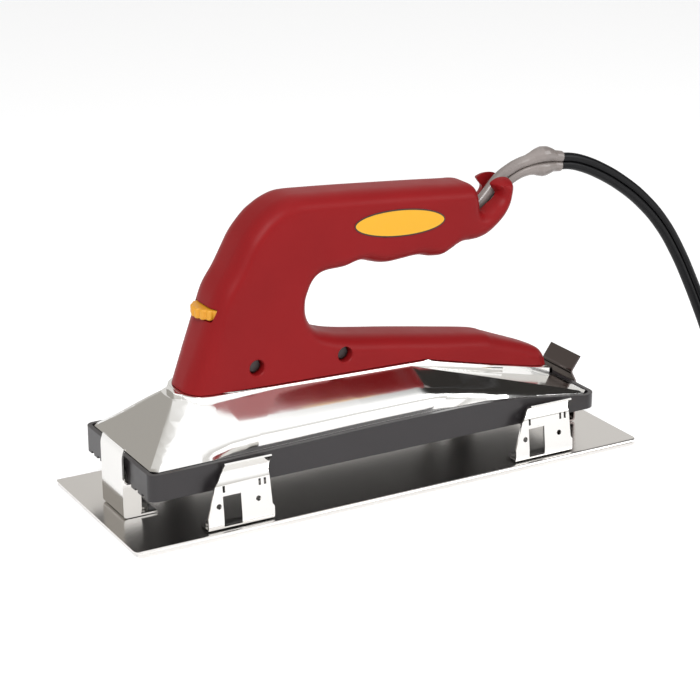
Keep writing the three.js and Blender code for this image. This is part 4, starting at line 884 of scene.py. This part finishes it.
# %% [markdown]
# ### The lip of the platform
# Seen from the side, a thin bright step runs all round under the handle. It is the edge of the
# raised platform that the handle is screwed to. It could be cut into the hood, but a ring offset
# from the handle's own foot fits it everywhere: the foot's outline grows outwards, is pulled
# down into the hood, and gets a rounded rim.

# %% Lip of the platform, all round the handle's foot
LIP_BORDER, LIP_HEIGHT, LIP_DROP = 2.1, 4.4, 0.25
LIP_ROUNDING, MOST_RISE = 0.5, 1.5
RIM_ANGLE = math.radians(60)

foot_half = side_depth(seam)
foot_ring = np.vstack([
    np.stack([seam[:, 0], -foot_half], 1),
    np.stack([seam[::-1, 0], foot_half[::-1]], 1)])
tangent = np.roll(foot_ring, -1, axis=0) - np.roll(foot_ring, 1, axis=0)
outward = np.stack([tangent[:, 1], -tangent[:, 0]], 1) / np.linalg.norm(tangent, axis=1)[:, None]
lip_shape = bmesh.new()
lip_ring = [lip_shape.verts.new((x * MM, y * MM, (float(seam_height(x)) - LIP_DROP) * MM))
            for x, y in foot_ring + LIP_BORDER * outward]
pull(lip_shape, [lip_shape.faces.new(lip_ring)], (0, 0, -LIP_HEIGHT * MM))
bmesh.ops.recalc_face_normals(lip_shape, faces=lip_shape.faces)
rim_edges = [e for e in lip_shape.edges if e.calc_face_angle(0) > RIM_ANGLE
             and abs(e.verts[0].co.z - e.verts[1].co.z) < MOST_RISE * MM]
bmesh.ops.bevel(lip_shape, geom=rim_edges, offset=LIP_ROUNDING * MM, offset_type="OFFSET",
                affect="EDGES", segments=3, profile=0.5, clamp_overlap=True, material=-1)
lip = object_from("platform_lip", lip_shape)
shade_smooth(lip.data, 40)
paint(lip.data, mirror_hood)
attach(lip, "iron")
print("lip faces:", len(lip.data.polygons))

# %% [markdown]
# ## Sole and stand
# The sole is a thick cast plate with a dark coating, and its edges are worn round. The tray, the
# bracket, the latch and the clips are thin sheet that was cut and folded, so their edges are only
# just broken. The solids have these shapes already, and a dressed copy is all they need. The
# latch is coloured darker than the rest, a painted reflection of the dark room behind it.

# %% Sole and stand
dressed("sole_plate", dark_sole, "iron", edge=0.5)
dressed("tray_plate", tray_sheet, "stand", edge=0.15)
# The latch's darker colour is a painted reflection of the dark room behind it.
dressed("rear_latch", painted_reflection_chrome, "stand", edge=0.15, angle=40)
for node in ("front_bracket", "side_clip_front_near", "side_clip_front_far",
             "side_clip_rear_near", "side_clip_rear_far"):
    dressed(node, bright_sheet, "stand", edge=0.15, angle=40)

# %% [markdown]
# ## Thermostat wheel, plug and tie
# The wheel is a toothed disc that a thumb turns in the nose of the handle. It stands further out
# of its slot than the solid does, so the points of its rim are scaled about the wheel's own axis
# and those of the hub stay. The plug and the coil's tie only need softer edges.

# %% Wheel, plug and tie
SOLID_WHEEL_RADIUS, HUB_RADIUS = 10.7, 6


def widen_wheel(shape):
    """Let the toothed rim stand further out of its slot."""
    axis = DIAL_PLACE[0] * MM
    rim = [v for v in shape.verts if math.hypot(v.co.x - axis, v.co.y) > HUB_RADIUS * MM]
    growth = WHEEL_RADIUS / SOLID_WHEEL_RADIUS
    bmesh.ops.translate(shape, vec=(-axis, 0, 0), verts=rim)
    bmesh.ops.scale(shape, vec=(growth, growth, 1), verts=rim)
    bmesh.ops.translate(shape, vec=(axis, 0, 0), verts=rim)


dressed("thermostat_dial", yellow_plastic, "dial",
        edge=0.45, segments=3, reshape=widen_wheel)
dressed("plug_body", black_plug, "stand", edge=0.6)
dressed("coil_tie", black_plug, "stand", edge=0.2)

# %% [markdown]
# ## The strain relief
# A soft grey sleeve carries the cord out of the grip. It has two lobes as the cord has, and swells
# into a bulb before its end. The same swept curve makes it, and the radius of each point of the
# curve makes the swelling.

# %% Sleeve
SLEEVE_WIDTH = 11.4 * MM
SLEEVE_THICKNESS = 6.6 * MM
sleeve_route = [
    (58, 130.2), (66, 129.8), (75, 131.4), (83, 137.8), (91.5, 146.7), (98, 150.6), (104, 152.9),
    (109, 153.9), (112, 154.4), (115, 154.75), (118, 154.9), (121, 154.8), (124, 154.5),
    (126.5, 154.15), (131, 153.5)]
sleeve_radii = [1, 1, 1, 1, 1, 1, 1, 1.02, 1.14, 1.34, 1.47, 1.44, 1.26, 1.06, 1.0]

sleeve_points = [Vector((x, 0, z)) * MM for x, z in sleeve_route]
sleeve_profile = twin_profile("sleeve profile", SLEEVE_WIDTH, SLEEVE_THICKNESS)
sleeve = as_mesh(swept("cord_sleeve_soft", sleeve_points, sleeve_profile, 8, sleeve_radii))
finish_sweep(sleeve, grey_sleeve)
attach(sleeve, "iron")
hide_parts("cord_sleeve")
print("sleeve faces:", len(sleeve.data.polygons))

# %% [markdown]
# ## The label
# A thin oval of yellow film with a dark border sits on the near side of the grip. It stays bare. A
# circle is stretched to the oval, its rim is inset for the border, and extruding gives it its
# thickness. Only the border and the edge are made of four-sided faces, so these get the dark
# material by their number of corners.

# %% Label
LABEL_CENTRE = Vector((18.8, -16.5, 137.9)) * MM
LABEL_HALF = (27.5 * MM, 7.4 * MM)
LABEL_SLOPE = math.radians(3.5)
LABEL_THICK = 0.25 * MM
BORDER_WIDTH = 0.7 * MM

label_shape = bmesh.new()
bmesh.ops.create_circle(label_shape, cap_ends=True, segments=64, radius=1)
bmesh.ops.scale(label_shape, vec=(*LABEL_HALF, 1), verts=label_shape.verts)
bmesh.ops.rotate(label_shape, cent=(0, 0, 0), matrix=FACE_NEAR, verts=label_shape.verts)
bmesh.ops.inset_region(label_shape, faces=label_shape.faces, thickness=BORDER_WIDTH, depth=0,
                       use_boundary=True)
pull(label_shape, label_shape.faces[:], (0, -LABEL_THICK, 0))
bmesh.ops.rotate(label_shape, cent=(0, 0, 0), matrix=Matrix.Rotation(LABEL_SLOPE, 3, "Y"),
                 verts=label_shape.verts)
bmesh.ops.translate(label_shape, vec=LABEL_CENTRE, verts=label_shape.verts)
bmesh.ops.recalc_face_normals(label_shape, faces=label_shape.faces)
label = object_from("label_plate", label_shape)
paint(label.data, yellow_label, label_border)
for face in label.data.polygons:
    face.material_index = int(len(face.vertices) == 4)
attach(label, "iron")
print("label faces:", len(label.data.polygons))

# %% [markdown]
# ## Solids that show as they are
# The screws, rivets, bolts, wires and the thermostat are small or hidden, and their solids are
# good enough to stay. They only need a finish. Most follow from the record's own name for their
# material, and the few that the record can't tell apart are named here.

# %% Materials of the solids that show as they are
# The handle screws get a near-black colour, painted shade of their deep recesses.
by_node = {
    "heating_element": element_steel, "thermostat_body": ceramic, "lead_live": red_lead,
    "handle_screw_front": painted_shade_screw, "handle_screw_middle": painted_shade_screw,
    "handle_screw_top": painted_shade_screw, "lead_neutral": black_cord, "lead_link": white_lead,
    "cord_inner": black_cord}
by_slot = {"steel": plain_steel, "brass": brass_metal, "bright_sheet": bright_sheet}
slots = {part["node"]: part["material_slot"] for part in frame["record"]["subparts"]}
for name, node in nodes.items():
    paint(node.data, by_node.get(name, by_slot.get(slots[name], black_plug)))
print("painted solids:", len(nodes))

# %% [markdown]
# ## Length of the cord
# The cord's length is summed from the steps between its points.

# %% Cord length along its points
steps = [(b - a).length for a, b in zip(cord_points, cord_points[1:])]
print("cord along its points, m:", round(sum(steps), 3))

# %% [markdown]
# ## Floor
# A pale, dull floor carries the object and keeps its shadow. It has to look nearly white, but more
# lamps would bleach the object as well. So the floor glows a little by itself, and only for rays
# that come from the camera, from a reflection or through something clear: it brightens the
# picture and the mirror images, and lights nothing.

# %% Floor
FLOOR_SIZE = 6
FLOOR_COLOUR = (0.93, 0.93, 0.93, 1)
FLOOR_GLOW = 0.35

floor_shape = bmesh.new()
bmesh.ops.create_grid(floor_shape, x_segments=1, y_segments=1, size=FLOOR_SIZE)
floor = object_from("floor", floor_shape)
floor_material, floor_tree, floor_shader = start_material("pale floor")
floor_shader.inputs["Base Color"].default_value = FLOOR_COLOUR
floor_shader.inputs["Roughness"].default_value = 0.9
floor_shader.inputs["Specular IOR Level"].default_value = 0.1
floor_shader.inputs["Emission Color"].default_value = (1, 1, 1, 1)
rays = add_node(floor_tree, "ShaderNodeLightPath").outputs
mirrored = calculate(floor_tree, "ADD", rays["Is Glossy Ray"], rays["Is Transmission Ray"])
seen_at_all = calculate(floor_tree, "ADD", mirrored, rays["Is Camera Ray"], clamp=True)
glow = calculate(floor_tree, "MULTIPLY", seen_at_all, FLOOR_GLOW)
feed(floor_tree, glow, floor_shader.inputs["Emission Strength"])
paint(floor.data, floor_material)
print("floor glow:", FLOOR_GLOW)

# %% [markdown]
# ## World
# Bright metal shows what is round it, so the world that it reflects is a studio: light walls, a
# duller patch behind the object, a bright ceiling, and a dark side beyond the cord. To the camera
# the same world is plain white, and for the even light on the object it is a plain grey. Light
# Path tells the three kinds of ray apart.

# %% World helpers
world = bpy.data.worlds.new("studio")
world.use_nodes = True
scene.world = world
sky = world.node_tree
background = sky.nodes["Background"]
direction = add_node(sky, "ShaderNodeTexCoord").outputs["Generated"]


def facing(way, start, end):
    """How far a direction lies towards a way, from 0 at the cosine start to 1 at end."""
    dot = add_node(sky, "ShaderNodeVectorMath", operation="DOT_PRODUCT")
    dot.inputs[1].default_value = Vector(way).normalized()
    feed(sky, direction, dot.inputs[0])
    ramp = add_node(sky, "ShaderNodeMapRange", interpolation_type="SMOOTHSTEP")
    for label, source in (("Value", dot.outputs["Value"]), ("From Min", start), ("From Max", end)):
        feed(sky, source, ramp.inputs[label])
    return ramp.outputs["Result"]


def tinted(below, share, colour):
    """The colour below, replaced by another one as far as the share says."""
    mix = add_node(sky, "ShaderNodeMix", data_type="RGBA")
    for label, source in (("A", below), ("B", (*colour, 1)), ("Factor", share)):
        feed(sky, source, mix.inputs[label])
    return mix.outputs["Result"]


# %% World: white to the camera, a studio to the metal
WALLS = (0.78, 0.765, 0.74, 1)
DULL_PATCH = ((-0.27, 0.82, 0.5), 0.75, 0.98, (0.42, 0.40, 0.37))
CEILING = ((0.3, -0.45, 0.84), 0.55, 0.85, (1.25, 1.25, 1.25))
DARK_SIDE = ((0.86, 0.1, 0.5), 0.80, 0.93, (0.03, 0.028, 0.026))
WHITE = (1, 1, 1)
EVEN_GREY = (0.55, 0.55, 0.55)

studio = WALLS
for way, start, end, colour in (DULL_PATCH, CEILING, DARK_SIDE):
    studio = tinted(studio, facing(way, start, end), colour)
rays = add_node(sky, "ShaderNodeLightPath").outputs
shown = calculate(sky, "ADD", rays["Is Camera Ray"], rays["Is Transmission Ray"], clamp=True)
reflected = calculate(sky, "ADD", rays["Is Glossy Ray"], shown, clamp=True)
diffuse_only = calculate(sky, "SUBTRACT", 1, reflected)
final = tinted(tinted(studio, shown, WHITE), diffuse_only, EVEN_GREY)
feed(sky, final, background.inputs["Color"])
background.inputs["Strength"].default_value = 1.0
print("nodes in the world:", len(sky.nodes))

# %% [markdown]
# ## Lamps
# The photograph has one wide soft light from the upper left and little shadow on the right. Two
# round area lamps do that: a key lamp on the left, and a larger, weaker one that fills in.

# %% Lamps
LAMP_TARGET = Vector((0, 0, 0.08))


def soft_lamp(name, place, size, watts):
    lamp_data = bpy.data.lights.new(name, "AREA")
    lamp_data.shape = "DISK"
    lamp_data.size = size
    lamp_data.energy = watts
    lamp = link(bpy.data.objects.new(name, lamp_data))
    lamp.location = Vector(place)
    lamp.rotation_euler = (Vector(place) - LAMP_TARGET).to_track_quat("Z", "Y").to_euler()
    print(name, "watts:", watts)


soft_lamp("key lamp", (-0.7, -0.7, 1.1), 0.6, 10)
soft_lamp("fill lamp", (0.9, -0.9, 0.8), 0.9, 5)

# %% [markdown]
# ## Finish
# The last cell brings the view layer up to date.

# %% Finish
bpy.context.view_layer.update()
